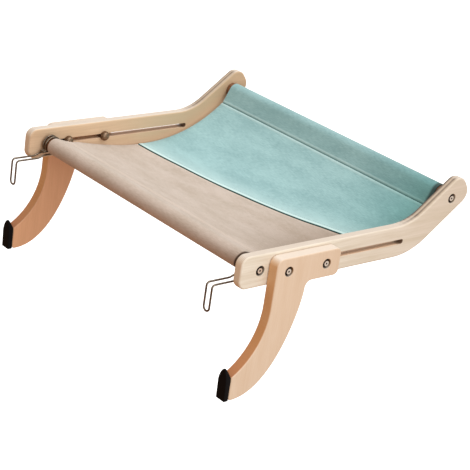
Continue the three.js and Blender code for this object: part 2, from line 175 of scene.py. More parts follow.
def roundedOutline(corners):
    outline = []
    for index, (y, z, radius) in enumerate(corners):
        here = Vector((y, z))
        wayIn = (here - Vector(corners[index - 1][:2])).normalized()
        wayOut = (Vector(corners[(index + 1) % len(corners)][:2]) - here).normalized()
        turn = math.atan2(wayIn.x * wayOut.y - wayIn.y * wayOut.x, wayIn.dot(wayOut))
        start = here - wayIn * radius * math.tan(abs(turn) / 2)
        centre = start + Vector((-wayIn.y, wayIn.x)) * math.copysign(radius, turn)
        first = math.atan2(start.y - centre.y, start.x - centre.x)
        outline += arcPoints(centre, radius, first, first + turn)
    return outline


def insetOutline(outline, distance):
    moved = []
    for index, here in enumerate(outline):
        wayIn = (here - outline[index - 1]).normalized()
        wayOut = (outline[(index + 1) % len(outline)] - here).normalized()
        inIn = Vector((-wayIn.y, wayIn.x))
        inOut = Vector((-wayOut.y, wayOut.x))
        moved.append(here + (inIn + inOut) * distance / (1 + inIn.dot(inOut)))
    return moved


def bezier(points, count):
    first, pull, hold, last = (Vector(point) for point in points)
    made = []
    for t in shares(count)[1:]:
        u = 1 - t
        made.append(first * u ** 3 + pull * 3 * u * u * t + hold * 3 * u * t * t + last * t ** 3)
    return made


def roundedLayers(low, high, edgeRound, steps=5):
    # (x, inset) pairs for a board whose long edges are rounded
    layers = []
    for turn in spread(0, right, steps) + [right]:
        layers.append((edgeRound * (1 - math.cos(turn)), edgeRound * (1 - math.sin(turn))))
    return [(low + d, i) for d, i in layers] + [(high - d, i) for d, i in reversed(layers)]


def wallRings(shape, rings):
    # faces from each ring of points to the next; a ring of one point closes to a tip
    for low, high in zip(rings, rings[1:]):
        for index in range(max(len(low), len(high))):
            after = index + 1
            corners = [low[index % len(low)], low[after % len(low)], high[after % len(high)], high[index % len(high)]]
            shape.faces.new(list(dict.fromkeys(corners)))


def boardShape(outline, layers):
    shape = bmesh.new()
    rings = []
    for x, distance in layers:
        places = [Vector((x, p.x, p.y)) * mm + frontBarAt for p in insetOutline(outline, distance)]
        rings.append([shape.verts.new(place) for place in places])
    wallRings(shape, rings)
    shape.faces.new(list(reversed(rings[0])))
    shape.faces.new(rings[-1])
    bmesh.ops.recalc_face_normals(shape, faces=shape.faces)
    return shape


def turnedShape(profile, centre, segments):
    # profile is (x, radius) pairs in millimetres; a radius of 0 closes the piece on its axis
    shape = bmesh.new()
    rings = []
    for x, radius in profile:
        turns = [2 * math.pi * index / segments for index in range(segments)] if radius else [0]
        offsets = [Vector((x, radius * math.cos(turn), radius * math.sin(turn))) * mm for turn in turns]
        rings.append([shape.verts.new(Vector((0, centre.y, centre.z)) + offset) for offset in offsets])
    closed = profile[0][1] > 0
    wallRings(shape, rings + rings[:1] if closed else rings)
    bmesh.ops.recalc_face_normals(shape, faces=shape.faces)
    return shape


def cutBoard(name, blank, cutters):
    host = objectFromBmesh(name, blank)
    tools = [objectFromBmesh(f"{name}_cutter", cutter) for cutter in cutters]
    for tool in tools:
        cut = host.modifiers.new("cut", "BOOLEAN")
        cut.object = tool
        cut.operation = "DIFFERENCE"
        cut.solver = "EXACT"
    host = plainMesh(host, name)
    for tool in tools:
        bpy.data.objects.remove(tool)
    smoothShaded(host, 40)
    weighted = host.modifiers.new("weighted", "WEIGHTED_NORMAL")
    weighted.keep_sharp = True
    return plainMesh(host, name)


woodMarks = ("edgeShare", "underShadeShare", "slopeShadeShare", "innerShadeShare", "hollowShadeShare", "slotShare")
shadow = {
    "boreDepth": 1.8,            # mm down a bore to where it is fully dark
    "slotRear": (11, 0.8),       # a slot darkens over this length to its rear end, and how dark it gets
    "slotMiddle": (3, 0.28),     # the same towards the middle of the board
    "gap": 0.85,                 # on the right-hand panel's rounded inner edge, beside the raised end of the sheet
    "raisedFrom": 200,           # the panel's top slopes behind here
    "raisedRamp": (0.08, 0.4),   # how far it has turned where its tone starts, and over how much more it is full
    "shinBelow": -30,            # the leg's shin is below here
    "shinRamp": 0.3,
}
broadFace = 0.9                  # a face that looks this much to the side is a board's broad face


def markWood(piece, side, bores, boreRadius, slot=None):
    # The shares, in the order of woodMarks: 0 on the broad faces and 1 on the sawn edges. Painted shade and warm
    # bounce:
    # 1 on an edge that looks down and to the wall. Painted shade, with splinter streaks over it on the panel: 1 on the
    # top of the raised end and on the top of a leg's shin. Painted shade and warm bounce: 1 on the face towards the
    # cloth. Painted
    # shade: deep in a drilled recess, part way to a slot's rear end and middle, and in the gap beside the sheet. 1 in
    # the slot.
    for name in woodMarks:
        piece.data.attributes.new(name, "FLOAT", "CORNER")
    marks = {name: piece.data.attributes[name].data for name in woodMarks}
    reaches = [abs(vertex.co.x) / mm for vertex in piece.data.vertices]
    inner, outer = min(reaches), max(reaches)
    for face in piece.data.polygons:
        at, normal = (face.center - frontBarAt) / mm, face.normal
        sunk = abs(normal.x) < broadFace or inner + 1 < abs(at.x) < outer - 1
        inBore = sunk and any((face.center - bore).yz.length < boreRadius * mm for bore in bores)
        inSlot, slope = False, 0.0
        # the slope share is painted shade, on the top of the raised end and on the top of a leg's shin
        if slot:
            start, end, half = slot
            off = math.hypot(at.y - min(max(at.y, start), end), at.z)
            inSlot = sunk and off < half + 0.6 and not inBore
            if at.y > shadow["raisedFrom"] and normal.z > 0.3:
                slope = (-normal.y - shadow["raisedRamp"][0]) / shadow["raisedRamp"][1]
        elif at.z < shadow["shinBelow"] and normal.y < -0.1:
            slope = normal.z / shadow["shinRamp"]
        # painted shade on the rounded edge in the gap beside the raised end of the sheet
        inGap = slot and side > 0 and slope > 0.3 and normal.x < -0.05
        # every share here but the first and the last is painted shade, some with warm bounce
        found = {
            "edgeShare": 1 - abs(normal.x),
            "underShadeShare": clamp(-0.9 * normal.y - 0.5 * normal.z),
            "slopeShadeShare": clamp(slope),
            "innerShadeShare": 1.0 if normal.x * side < -0.6 else 0.0,
            "hollowShadeShare": shadow["gap"] if inGap else 0.0,
            "slotShare": 1.0 if inSlot else 0.0,
        }
        for loop, index in zip(face.loop_indices, face.vertices):
            spot = (piece.data.vertices[index].co - frontBarAt) / mm
            # painted shade: darker with depth down a recess, and towards a slot's rear end and its middle
            if inBore:
                found["hollowShadeShare"] = min((outer - abs(spot.x)) / shadow["boreDepth"], 1)
            if inSlot:
                (rear, rearShare), (middle, middleShare) = shadow["slotRear"], shadow["slotMiddle"]
                fromMiddle = abs(abs(spot.x) - (inner + outer) / 2)
                found["hollowShadeShare"] = max(middleShare * (1 - fromMiddle / middle),
                                         rearShare * min(1 - (end - spot.y) / rear, 1), 0)
            for name, share in found.items():
                marks[name][loop].value = share


def grainPattern(tree, place, sizes, **detail):
    # noise with spots of the given sizes in millimetres
    scale = tuple(1 / (size * mm) for size in sizes)
    drawn = addNode(tree, "ShaderNodeMapping", {"Vector": place, "Scale": scale})
    return addNode(tree, "ShaderNodeTexNoise", {"Vector": drawn, "Scale": 1.0, **detail})


def sineWaves(tree, along, length):
    # even waves along one axis, their length in millimetres
    turns = addNode(tree, "ShaderNodeMath", {0: along, 1: 2 * math.pi / (length * mm)}, operation="MULTIPLY")
    return addNode(tree, "ShaderNodeMath", {0: turns}, operation="SINE")


def layeredColour(tree, look, ranges, layers):
    # Colours laid over each other. A layer is its name, the name of its share, the colour below and the one above;
    # a colour is the look's or an earlier layer's. A share is a value between two ends, as ranges gives it, or else
    # the piece's own attribute of that name.
    colours = {name: linear(value) for name, value in look.items() if str(value).startswith("#")}
    factors = {}
    for share, (value, start, end) in ranges.items():
        factors[share] = addNode(tree, "ShaderNodeMapRange", {"Value": value, "From Min": start, "From Max": end})
    for name, share, below, above, *blend in layers:
        if share not in factors:
            factors[share] = addNode(tree, "ShaderNodeAttribute", attribute_name=share).outputs["Fac"]
        mixed = addNode(tree, "ShaderNodeMix", {"Factor": factors[share], "A": colours[below], "B": colours[above]},
                        data_type="RGBA", blend_type=blend[0] if blend else "MIX")
        colours[name] = mixed.outputs["Result"]
    return colours[name]


# Wood. Sizes are millimetres across the sheet, along Y and along Z.
birch = {
    "face": "#E6DECF",
    "vein": "#CFC1AB",
    "far": "#D8C7B5",
    # the face towards the cloth: painted shade and warm bounce from the cloth, darker towards the far end
    "inner": "#E8CAA9",
    "innerVein": "#D5B693",
    "innerFar": "#C0A482",
    "plyLight": "#E3D6C9",
    "plyDark": "#C6B7A5",
    # the raised end's top: painted shade, with splinter streaks over it
    "slope": "#BFAC94",
    "slopeDark": "#635040",
    # edges that look down and to the wall: painted shade and warm bounce
    "under": "#E7D5BC",
    # painted shade in the recesses, the slot and the gap
    "bore": "#3A2113",
    "slot": "#D9BA9C",
    "fibre": (14, 60, 2.4),
    "figure": (20, 170, 15),
    "fade": (60, 480),           # from the wall end to the raised end the sheet turns from face to far
    "plyPitch": 2.5,             # one light and one dark veneer
    "slopePitch": 6.5,           # the splintered edge of the raised end, drawn coarser so that it shows
    "roughness": 0.5,
    "bump": 0.14,
}
beech = {
    "face": "#DBC4AC",
    "vein": "#D3B89C",
    "far": "#DBC4AC",
    # the face towards the cloth: painted shade and warm bounce
    "inner": "#E8B288",
    "innerVein": "#DDA77D",
    "innerFar": "#E8B288",
    "plyLight": "#E3D4C4",
    "plyDark": "#DACAB8",
    # the shin's top: painted shade and warm bounce
    "slope": "#B8764A",
    "slopeDark": "#AE6C42",
    # edges that look down and to the wall: painted shade and warm bounce
    "under": "#DDAC76",
    # painted shade in the recesses
    "bore": "#3A2113",
    "slot": "#D5B597",
    "fibre": (3, 1.2, 34),
    "figure": (20, 14, 120),
    "fade": (0, 1000),
    "plyPitch": 60,              # one solid board, no veneers
    "slopePitch": 60,
    "roughness": 0.48,
    "bump": 0.08,
}
woodLayers = [
    ("faceTone", "fade", "face", "far"),
    ("grained", "tone", "faceTone", "vein"),
    # painted shade and warm bounce on the face towards the cloth
    ("innerTone", "fade", "inner", "innerFar"),
    ("innerGrained", "tone", "innerTone", "innerVein"),
    ("sided", "innerShadeShare", "grained", "innerGrained"),
    ("plies", "plyPitch", "plyLight", "plyDark"),
    ("splinters", "slopePitch", "slope", "slopeDark"),
    # painted shade on the raised top and on the shin
    ("sloped", "slopeShadeShare", "plies", "splinters"),
    # painted shade and warm bounce on the edges that look down and to the wall
    ("edge", "underShadeShare", "sloped", "under"),
    ("outside", "edgeTurn", "sided", "edge"),
    ("slotted", "slotShare", "outside", "slot"),
    ("shadowed", "hollowShadeShare", "slotted", "bore"),
]


def lacqueredWood(name, look):
    # sanded and clear-lacquered wood: fine long fibres, faint broad figure, sawn edges, soft shine; painted shade and
    # warm bounce on some faces and edges, and painted shade in the hollows
    material, tree = newMaterial(name)
    place = addNode(tree, "ShaderNodeTexCoord").outputs["Object"]
    fibre = grainPattern(tree, place, look["fibre"], Detail=4.0, Roughness=0.6)
    figure = grainPattern(tree, place, look["figure"], Detail=3.0, Roughness=0.6)
    both = addNode(tree, "ShaderNodeMath", {0: fibre, 1: figure}, operation="ADD")
    parts = addNode(tree, "ShaderNodeSeparateXYZ", {"Vector": place})
    edge = addNode(tree, "ShaderNodeAttribute", attribute_name="edgeShare")
    ranges = {
        "tone": (both, 0.75, 1.3),
        "fade": (parts.outputs["Y"], *(frontBarAt.y + y * mm for y in look["fade"])),
        "edgeTurn": (edge.outputs["Fac"], 0.25, 0.8),
    }
    for pitch in ("plyPitch", "slopePitch"):
        waves = sineWaves(tree, parts.outputs["X"], look[pitch])
        frayed = addNode(tree, "ShaderNodeMath", {0: waves, 1: fibre}, operation="ADD")
        ranges[pitch] = (frayed, -0.6, 1.6)
    return finishMaterial(material, look, layeredColour(tree, look, ranges, woodLayers), fibre, 0.3, {
        "Roughness": look["roughness"], "IOR": 1.5, "Coat Weight": 0.05, "Coat Roughness": 0.35})


dowel = {
    "light": "#8E5F3C",
    "dark": "#5F3820",
    "fibre": (40, 1.4, 1.4),     # mm, long along the bar
    "roughness": 0.55,
    "bump": 0.15,
}


def oiledDowel():
    # turned hardwood, oiled: a warm brown with long thin fibres along the bar
    material, tree = newMaterial("oiled beech dowel")
    place = addNode(tree, "ShaderNodeTexCoord").outputs["Object"]
    fibre = grainPattern(tree, place, dowel["fibre"], Detail=3.0)
    colour = layeredColour(tree, dowel, {"tone": (fibre, 0.35, 0.7)}, [("fibred", "tone", "light", "dark")])
    return finishMaterial(material, dowel, colour, fibre, 0.2, {"Roughness": dowel["roughness"], "IOR": 1.5})


# Canvas. Mottle and slub are spots in the flat cloth, millimetres across it and along it; the third size does nothing.
beigeCanvas = {
    "light": "#C9BAAE",
    "dark": "#B4A494",
    # painted highlight beside the seam and before the lap
    "highlight": "#D3C5B8",
    # painted shade in the seam, on the sleeve and on the border line
    "groove": "#8A7461",
    "shade": "#CFC7BF",
    # painted shade at the right-hand raw ends
    "end": "#4A382A",
    "thread": 1.3,
    "mottle": (83.6, 30.4, 1000),
    "slub": (9, 0.9, 1000),
    "sheen": 0.2,
    "bump": 0.22,
}
blueCanvas = {
    **beigeCanvas,
    "light": "#A1C8CA",
    "dark": "#85ADB0",
    # painted highlight on the hem and beside the seam
    "highlight": "#DAF3F1",
    # painted shade in the seam, on the sleeve and on the border line
    "groove": "#1F5351",
    "shade": "#BFDBD9",
    # painted shade at the right-hand raw ends
    "end": "#35504F",
    "mottle": (101.2, 36.8, 1000),
    "sheen": 0.25,
}
clothLayers = [
    ("plain", "tone", "light", "dark"),
    # painted highlight
    ("highlighted", "highlightShare", "plain", "highlight"),
    # painted shade
    ("seamed", "grooveShare", "highlighted", "groove"),
    ("shaded", "shadeShare", "seamed", "shade", "MULTIPLY"),
    # painted shade
    ("ended", "endShare", "shaded", "end"),
]


def wovenCanvas(name, look):
    # plain-woven cotton canvas: matt, faintly mottled, with painted highlight on the hem, beside the seams and before
    # the lap, and painted shade down in the seams, on the sleeve, along the border, at the raw ends and towards the
    # right-hand panel; threads are drawn about twice their real 0.6 mm, so that they show
    material, tree = newMaterial(name)
    flat = addNode(tree, "ShaderNodeUVMap", uv_map="clothMap")
    parts = addNode(tree, "ShaderNodeSeparateXYZ", {"Vector": flat})
    warp, weft = (sineWaves(tree, parts.outputs[axis], 2 * look["thread"]) for axis in ("X", "Y"))
    weave = addNode(tree, "ShaderNodeMath", {0: warp, 1: weft}, operation="MULTIPLY")
    mottle = grainPattern(tree, flat, look["mottle"], Detail=5.0, Roughness=0.62)
    slub = grainPattern(tree, flat, look["slub"], Detail=2.0)
    mixed = addNode(tree, "ShaderNodeMath", {0: mottle, 1: slub}, operation="ADD")
    colour = layeredColour(tree, look, {"tone": (mixed, 0.8, 1.22)}, clothLayers)
    height = addNode(tree, "ShaderNodeMath", {0: weave, 1: slub}, operation="ADD")
    return finishMaterial(material, look, colour, height, 0.25, {
        "Roughness": 0.92, "Sheen Weight": look["sheen"], "Sheen Roughness": 0.5, "Specular IOR Level": 0.2})


def grainedFinish(name, look):
    # a finish with a fine grain, its roughness and colour varying with it
    material, tree = newMaterial(name)
    place = addNode(tree, "ShaderNodeTexCoord").outputs["Object"]
    grain = grainPattern(tree, place, (look["grain"],) * 3, Detail=3.0)
    layers = [("plain", "wear", "colour", "worn")]
    # the screws' dark film: black oxide and painted shade
    if "oxideAndShade" in look:
        layers.append(("oxideAndShadeed", "oxideAndShadeShare", "plain", "oxideAndShade"))
    rough = addNode(tree, "ShaderNodeMapRange", {"Value": grain, "To Min": look["roughness"] - 0.06,
                                                 "To Max": look["roughness"] + 0.06})
    return finishMaterial(material, look, layeredColour(tree, look, {"wear": (grain, 0.3, 0.7)}, layers), grain, 0.1, {
        "Metallic": look["metallic"], "Roughness": rough, "Specular IOR Level": look["specular"]})


# grain is in mm, and the last colour, black oxide with painted shade, is laid where the piece carries its share of it
finishFields = ("colour", "worn", "metallic", "roughness", "specular", "grain", "bump", "oxideAndShade")
finishes = {
    # black oxide screw with a pale steel top: a pale ring between a dark rim and a dark socket, the dark being black
    # oxide and painted shade of the recess and the socket
    "black oxide screw steel with painted shade": ("#F3EADF", "#DACCBB", 0.7, 0.45, 0.5, 0.8, 0.1, "#2E1A10"),
    # bronzed steel: a brown film over the metal, duller than the screws
    "bronzed steel": ("#A58C75", "#7C6552", 1.0, 0.45, 0.5, 1.4, 0.1),
    # black oxide on steel: near black with a dull shine
    "black oxide steel": ("#140A06", "#1C100A", 0.8, 0.6, 0.3, 1.2, 0.1),
    # drawn spring wire, oil blackened: dark at its sides, one bright line along its top
    "drawn steel wire": ("#8D8070", "#5F5449", 1.0, 0.3, 0.5, 2.5, 0.05),
    # moulded rubber: near black, fine matt grain, hardly any shine
    "moulded black rubber": ("#040203", "#080505", 0.0, 0.8, 0.15, 0.9, 0.4),
    # turned brass, a little tarnished
    "turned brass": ("#B5934F", "#94763A", 1.0, 0.38, 0.5, 1.0, 0.1),
    # polyester sewing thread, darker than the cloth it is sunk in
    "teal sewing thread": ("#386768", "#2B5556", 0.0, 0.7, 0.3, 0.6, 0.2),
    "beige sewing thread": ("#B3A08C", "#9C8974", 0.0, 0.7, 0.3, 0.6, 0.2),
}

finishOf = {"oiled beech dowel": oiledDowel()}
for make, name, look in ((lacqueredWood, "lacquered birch plywood", birch), (lacqueredWood, "lacquered beech", beech),
                         (wovenCanvas, "beige cotton canvas", beigeCanvas),
                         (wovenCanvas, "blue cotton canvas", blueCanvas),
                         *((grainedFinish, name, dict(zip(finishFields, row)))
                           for name, row in finishes.items())):
    finishOf[name] = make(name, look)
print("materials made")


# Side panels
panel = {
    "height": 50,
    "raisedHeight": 46,
    "raiseAngle": 36,
    "wallEnd": -36,
    "bendFromFrontBar": 299.6,
    "raisedEndReach": 35,
    "edgeRound": 2.8,
    "wallCornerRadius": 14,
    "raisedCornerRadius": 19,
    "upperBendRadius": 90,
    "lowerBendRadius": 110,
    "slot": (21.2, 279, 3.3),      # start, end, half width
    "slotChamfer": 0.5,
    "holeRadius": 3.3,
    "recessRadius": 7.6,
    "recessDepth": 7.4,
    "recessChamfer": 0.4,
    "holeSegments": 48,
    "overrun": 2,                  # how far a cutter goes past the board
}


def panelOutline():
    half, raisedHalf = panel["height"] / 2, panel["raisedHeight"] / 2
    way = polar(math.radians(panel["raiseAngle"]), 1)
    across = Vector((-way.y, way.x)) * raisedHalf
    shift = way * ((half - raisedHalf * way.x) / way.y)
    bend = Vector((panel["bendFromFrontBar"], 0))
    tip = rearBarOffset + way * panel["raisedEndReach"]
    wall, wallCorner, raisedCorner = panel["wallEnd"], panel["wallCornerRadius"], panel["raisedCornerRadius"]
    return roundedOutline([
        (wall, -half, wallCorner),
        (*(bend - across - shift), panel["lowerBendRadius"]),
        (*(tip - across), raisedCorner),
        (*(tip + across), raisedCorner),
        (*(bend + across + shift), panel["upperBendRadius"]),
        (wall, half, wallCorner),
    ])


def boltHoleCutter(side, outer, inner, centre):
    # a clearance hole right through, and a recess for the head in the outer face
    hole, recess, chamfer = panel["holeRadius"], panel["recessRadius"], panel["recessChamfer"]
    seat, overrun = outer - panel["recessDepth"], panel["overrun"]
    profile = [(inner - overrun, 0), (inner - overrun, hole), (seat, hole), (seat, recess), (outer - chamfer, recess),
               (outer, recess + chamfer), (outer + overrun, recess + chamfer), (outer + overrun, 0)]
    return turnedShape([(side * x, radius) for x, radius in profile], centre, panel["holeSegments"])


def slotCutter(low, high):
    # its points divide the slot's wall where its shadow starts
    start, end, half = panel["slot"]
    chamfer, overrun, middle = panel["slotChamfer"], panel["overrun"], (low + high) / 2
    darkFrom, deep = end - shadow["slotRear"][0], shadow["slotMiddle"][0]
    outline = arcPoints((start, 0), half, right, 3 * right) + [Vector((darkFrom, -half))]
    outline += arcPoints((end, 0), half, -right, right) + [Vector((darkFrom, half))]
    return boardShape(outline, [(low - overrun, -chamfer), (low, -chamfer), (low + chamfer, 0), (middle - deep, 0),
                                (middle, 0), (middle + deep, 0), (high - chamfer, 0), (high, -chamfer),
                                (high + overrun, -chamfer)])


def woodenBoard(name, node, side, outline, edgeRound, bolts, slot=None):
    # a board as thick as its node, with rounded edges and a hole for each bolt
    low, high = (corner.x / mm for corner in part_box(node))
    inner, outer = sorted((abs(low), abs(high)))
    cutters = [slotCutter(low, high)] if slot else []
    cutters += [boltHoleCutter(side, outer, inner, bolt) for bolt in bolts]
    board = cutBoard(name, boardShape(outline, roundedLayers(low, high, edgeRound)), cutters)
    markWood(board, side, bolts, panel["recessRadius"] + 0.2, slot)
    return board


for word, side in sides.items():
    node = f"side_panel_{word}"
    board = woodenBoard(f"panel_board_{word}", node, side, panelOutline(), panel["edgeRound"],
                        [frontBarAt, rearBarAt], panel["slot"])
    dress(board, "lacquered birch plywood", "plywood", "frame", node)
print("side panels made")


# Legs
legLook = {
    "headHalfHeight": 21,
    "headFront": 14.5,
    "headRear": 136,
    "headFrontCorner": 12,
    "headRearCorner": 9,
    "neckWidth": 60,
    "neckFillet": 11,
    "frontCurveRadius": 112,
    "frontCurveDrop": 53.5,
    "footReach": 40.5,
    "footHeight": 37,
    "footCorner": 5,
    "heelStraight": 27,
    "heelPull": 83,
    "edgeRound": 1.9,
}


def legOutline():
    top, front, rear = legLook["headHalfHeight"], legLook["headFront"], legLook["headRear"]
    reach, drop, radius = legLook["footReach"], legLook["frontCurveDrop"], legLook["frontCurveRadius"]
    corner, fillet = legLook["footCorner"], legLook["neckFillet"]
    frontCorner, rearCorner = legLook["headFrontCorner"], legLook["headRearCorner"]
    neckRear = front + legLook["neckWidth"]
    neckTop = -top - fillet
    toeTurn = math.acos((radius - front - reach) / radius)
    foot = -drop - radius * math.sin(toeTurn) - legLook["footHeight"]
    outline = arcPoints((front - radius, -drop), radius, 0, -toeTurn, 3)
    outline += arcPoints((corner - reach, foot + corner), corner, 2 * right, 3 * right, 15)
    outline += bezier([(corner - reach, foot), (legLook["heelPull"] - reach, foot),
                       (neckRear, neckTop - legLook["heelStraight"]), (neckRear, neckTop)], 40)
    outline += arcPoints((neckRear + fillet, neckTop), fillet, 2 * right, right, 9)[1:]
    outline += arcPoints((rear - rearCorner, rearCorner - top), rearCorner, -right, 0, 9)
    outline += arcPoints((rear - rearCorner, top - rearCorner), rearCorner, 0, right, 9)
    outline += arcPoints((front + frontCorner, top - frontCorner), frontCorner, right, 2 * right, 9)
    return outline


for word, side in sides.items():
    bolts = [middleOf(f"leg_bolt_{place}_{word}") for place in barNames]
    board = woodenBoard(f"leg_board_{word}", f"leg_{word}", side, legOutline(), legLook["edgeRound"], bolts)
    dress(board, "lacquered beech", "leg_wood", f"leg_{word}_body", f"leg_{word}")
print("legs made")


# Rubber pads on the toes
pad = {
    "archRise": 19,
    "archPower": (1.8, 0.62),      # makes the arch a little pointed
    "archSteps": 16,               # from its foot to its tip
    "footRadius": 1.0,
    "backChamfer": 0.6,
    "faceRound": 1.0,
    "roundSteps": 6,
    "crown": 1.0,
    "faceRows": 10,
    "tipLength": 13,               # the part that stands above the toe, thinner towards its tip
    "tipThickness": 2.5,
}


def footPad(word):
    # a block with an arched top that thins out above the toe, its face towards the wall slightly crowned
    low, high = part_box(f"foot_pad_{word}")
    size, centre = (high - low) / mm, (low + high) / 2
    halfWidth, halfHeight, corner = size.x / 2, size.z / 2, pad["footRadius"]
    outline = arcPoints((corner - halfWidth, corner - halfHeight), corner, 2 * right, 3 * right, 15)
    outline += arcPoints((halfWidth - corner, corner - halfHeight), corner, -right, 0, 15)
    footPoints, archSteps = len(outline), pad["archSteps"]
    wide, tall = pad["archPower"]
    for turn in spread(0, math.pi, 2 * archSteps) + [math.pi]:
        across = math.cos(turn)
        rise = pad["archRise"] * ((1 - abs(across) ** wide) ** tall - 1)
        outline.append(Vector((halfWidth * across, halfHeight + rise)))
    flatDepth, faceRound = size.y - pad["crown"], pad["faceRound"]
    layers = [(0, pad["backChamfer"]), (pad["backChamfer"], 0)]
    for turn in spread(0, right, pad["roundSteps"]) + [right]:
        layers.append((flatDepth - faceRound * (1 - math.sin(turn)), faceRound * (1 - math.cos(turn))))
    for share in spread(0, 0.98, pad["faceRows"])[1:]:
        layers.append((flatDepth, faceRound + (halfWidth - faceRound) * share))
    limit = corner - 0.2           # a corner can't be inset further than its own radius; the rest is plain shrinking
    shape = bmesh.new()
    rings = []
    for depth, distance in layers:
        ring = []
        for point in insetOutline(outline, min(distance, limit)):
            shrink = max(0.0, distance - limit)
            x, z = (math.copysign(max(abs(part) - shrink, 0.05), part) for part in point)
            bulge = pad["crown"] * (1 - (z / halfHeight) ** 2) if depth > size.y / 2 else 0
            lean = max(0.0, 1 + (z - halfHeight) / pad["tipLength"]) * (flatDepth - pad["tipThickness"])
            y = high.y - (max(depth, lean) + bulge) * mm
            ring.append(shape.verts.new((centre.x + x * mm, y, centre.z + z * mm)))
        rings.append(ring)
    wallRings(shape, rings)
    shape.faces.new(rings[-1])
    # the back is closed in strips, from the foot to the tip of the arch
    back, half = rings[0], footPoints // 2
    pairs = [(back[half - 1 - step], back[half + step]) for step in range(half)]
    pairs += [(back[-1 - step], back[footPoints + step]) for step in range(archSteps)]
    pairs.append((back[footPoints + archSteps],) * 2)
    for (lowLeft, lowRight), (left, rightward) in zip(pairs, pairs[1:]):
        shape.faces.new(list(dict.fromkeys((lowLeft, lowRight, rightward, left))))
    bmesh.ops.recalc_face_normals(shape, faces=shape.faces)
    return smoothShaded(objectFromBmesh(f"rubber_pad_{word}", shape), 50)


for word in sides:
    dress(footPad(word), "moulded black rubber", "foot_rubber", f"leg_{word}_body", f"foot_pad_{word}")
print("foot pads made")


# Round bars
bar = {"radius": 12, "endRound": 1.0, "segments": 64}

for place in barNames:
    low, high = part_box(f"{place}_bar")
    end, radius, endRound = high.x / mm, bar["radius"], bar["endRound"]
    profile = [(-end, 0), (-end, radius - endRound), (endRound - end, radius), (end - endRound, radius),
               (end, radius - endRound), (end, 0)]
    rod = objectFromBmesh(f"{place}_dowel", turnedShape(profile, (low + high) / 2, bar["segments"]))
    dress(smoothShaded(rod, 40), "oiled beech dowel", "bar_wood", "frame", f"{place}_bar")
print("bars made")


# Trees for what repeats or follows a path; every size is a named input, given in metres
def newTree(name, sizes, worked=()):
    # the tree and its inputs by name; a worked size is made of two others, or of one and a number
    tree = bpy.data.node_groups.new(name, "GeometryNodeTree")
    sockets = {"Geometry": "NodeSocketGeometry", **dict.fromkeys(sizes, "NodeSocketFloat"),
               "Material": "NodeSocketMaterial"}
    for socket, kind in sockets.items():
        made = tree.interface.new_socket(name=socket, in_out="INPUT", socket_type=kind)
        if socket in sizes:
            made.default_value = sizes[socket] * mm
    tree.interface.new_socket(name="Geometry", in_out="OUTPUT", socket_type="NodeSocketGeometry")
    given = {socket.name: socket for socket in addNode(tree, "NodeGroupInput").outputs}
    for size, first, operation, second in worked:
        given[size] = addNode(tree, "ShaderNodeMath", {0: given[first], 1: given.get(second, second)},
                              operation=operation)
    return tree, given


def endTree(tree, geometry, given):
    real = addNode(tree, "GeometryNodeRealizeInstances", {"Geometry": geometry})
    painted = addNode(tree, "GeometryNodeSetMaterial", {"Geometry": real, "Material": given["Material"]})
    addNode(tree, "NodeGroupOutput", {"Geometry": painted})
    return tree


def copiesOutwards(tree, instance, given):
    # one copy at each point, its own Z axis turned to the outside of the perch
    side = addNode(tree, "GeometryNodeInputNamedAttribute", {"Name": "side"}, data_type="FLOAT")
    turn = addNode(tree, "ShaderNodeMath", {0: side.outputs["Attribute"], 1: right}, operation="MULTIPLY")
    euler = addNode(tree, "ShaderNodeCombineXYZ", {"Y": turn})
    copies = addNode(tree, "GeometryNodeInstanceOnPoints", {
        "Points": given["Geometry"], "Instance": instance, "Rotation": euler})
    return endTree(tree, copies, given)


def runTree(name, tree, points, sizes, finish, ways=None):
    # a host of loose points that look their ways, or else of one line, and the plain mesh that the tree makes of it
    mesh = bpy.data.meshes.new(name)
    line = [] if ways else [(index, index + 1) for index in range(len(points) - 1)]
    mesh.from_pydata([tuple(point) for point in points], line, [])
    if ways:
        mesh.attributes.new("side", "FLOAT", "POINT").data.foreach_set("value", ways)
    host = newObject(name, mesh)
    modifier = host.modifiers.new("nodes", "NODES")
    modifier.node_group = tree
    for item in tree.interface.items_tree:
        if item.in_out == "INPUT" and item.name in sizes:
            modifier[item.identifier] = sizes[item.name] * mm
        if item.in_out == "INPUT" and item.name == "Material":
            modifier[item.identifier] = finishOf[finish]
    return plainMesh(host, name)


# Screws, washers and cap nuts
screw = {
    "Head Radius": 5.0,
    "Head Height": 5.0,
    "Head Chamfer": 0.9,
    "Socket Radius": 1.6,
    "Socket Depth": 3.0,
    "Shank Radius": 3.0,
    "Shank Length": 20.0,
}
nut = {
    "Grip Radius": 7.9,
    "Knurl Depth": 0.6,
    "Grip Length": 4.5,
    "Dome Radius": 6.9,
    "Dome Height": 4.0,
}
nutKnurls = 30
washer = {"inner": 3.3, "outer": 7.0, "edge": 0.25, "segments": 48}


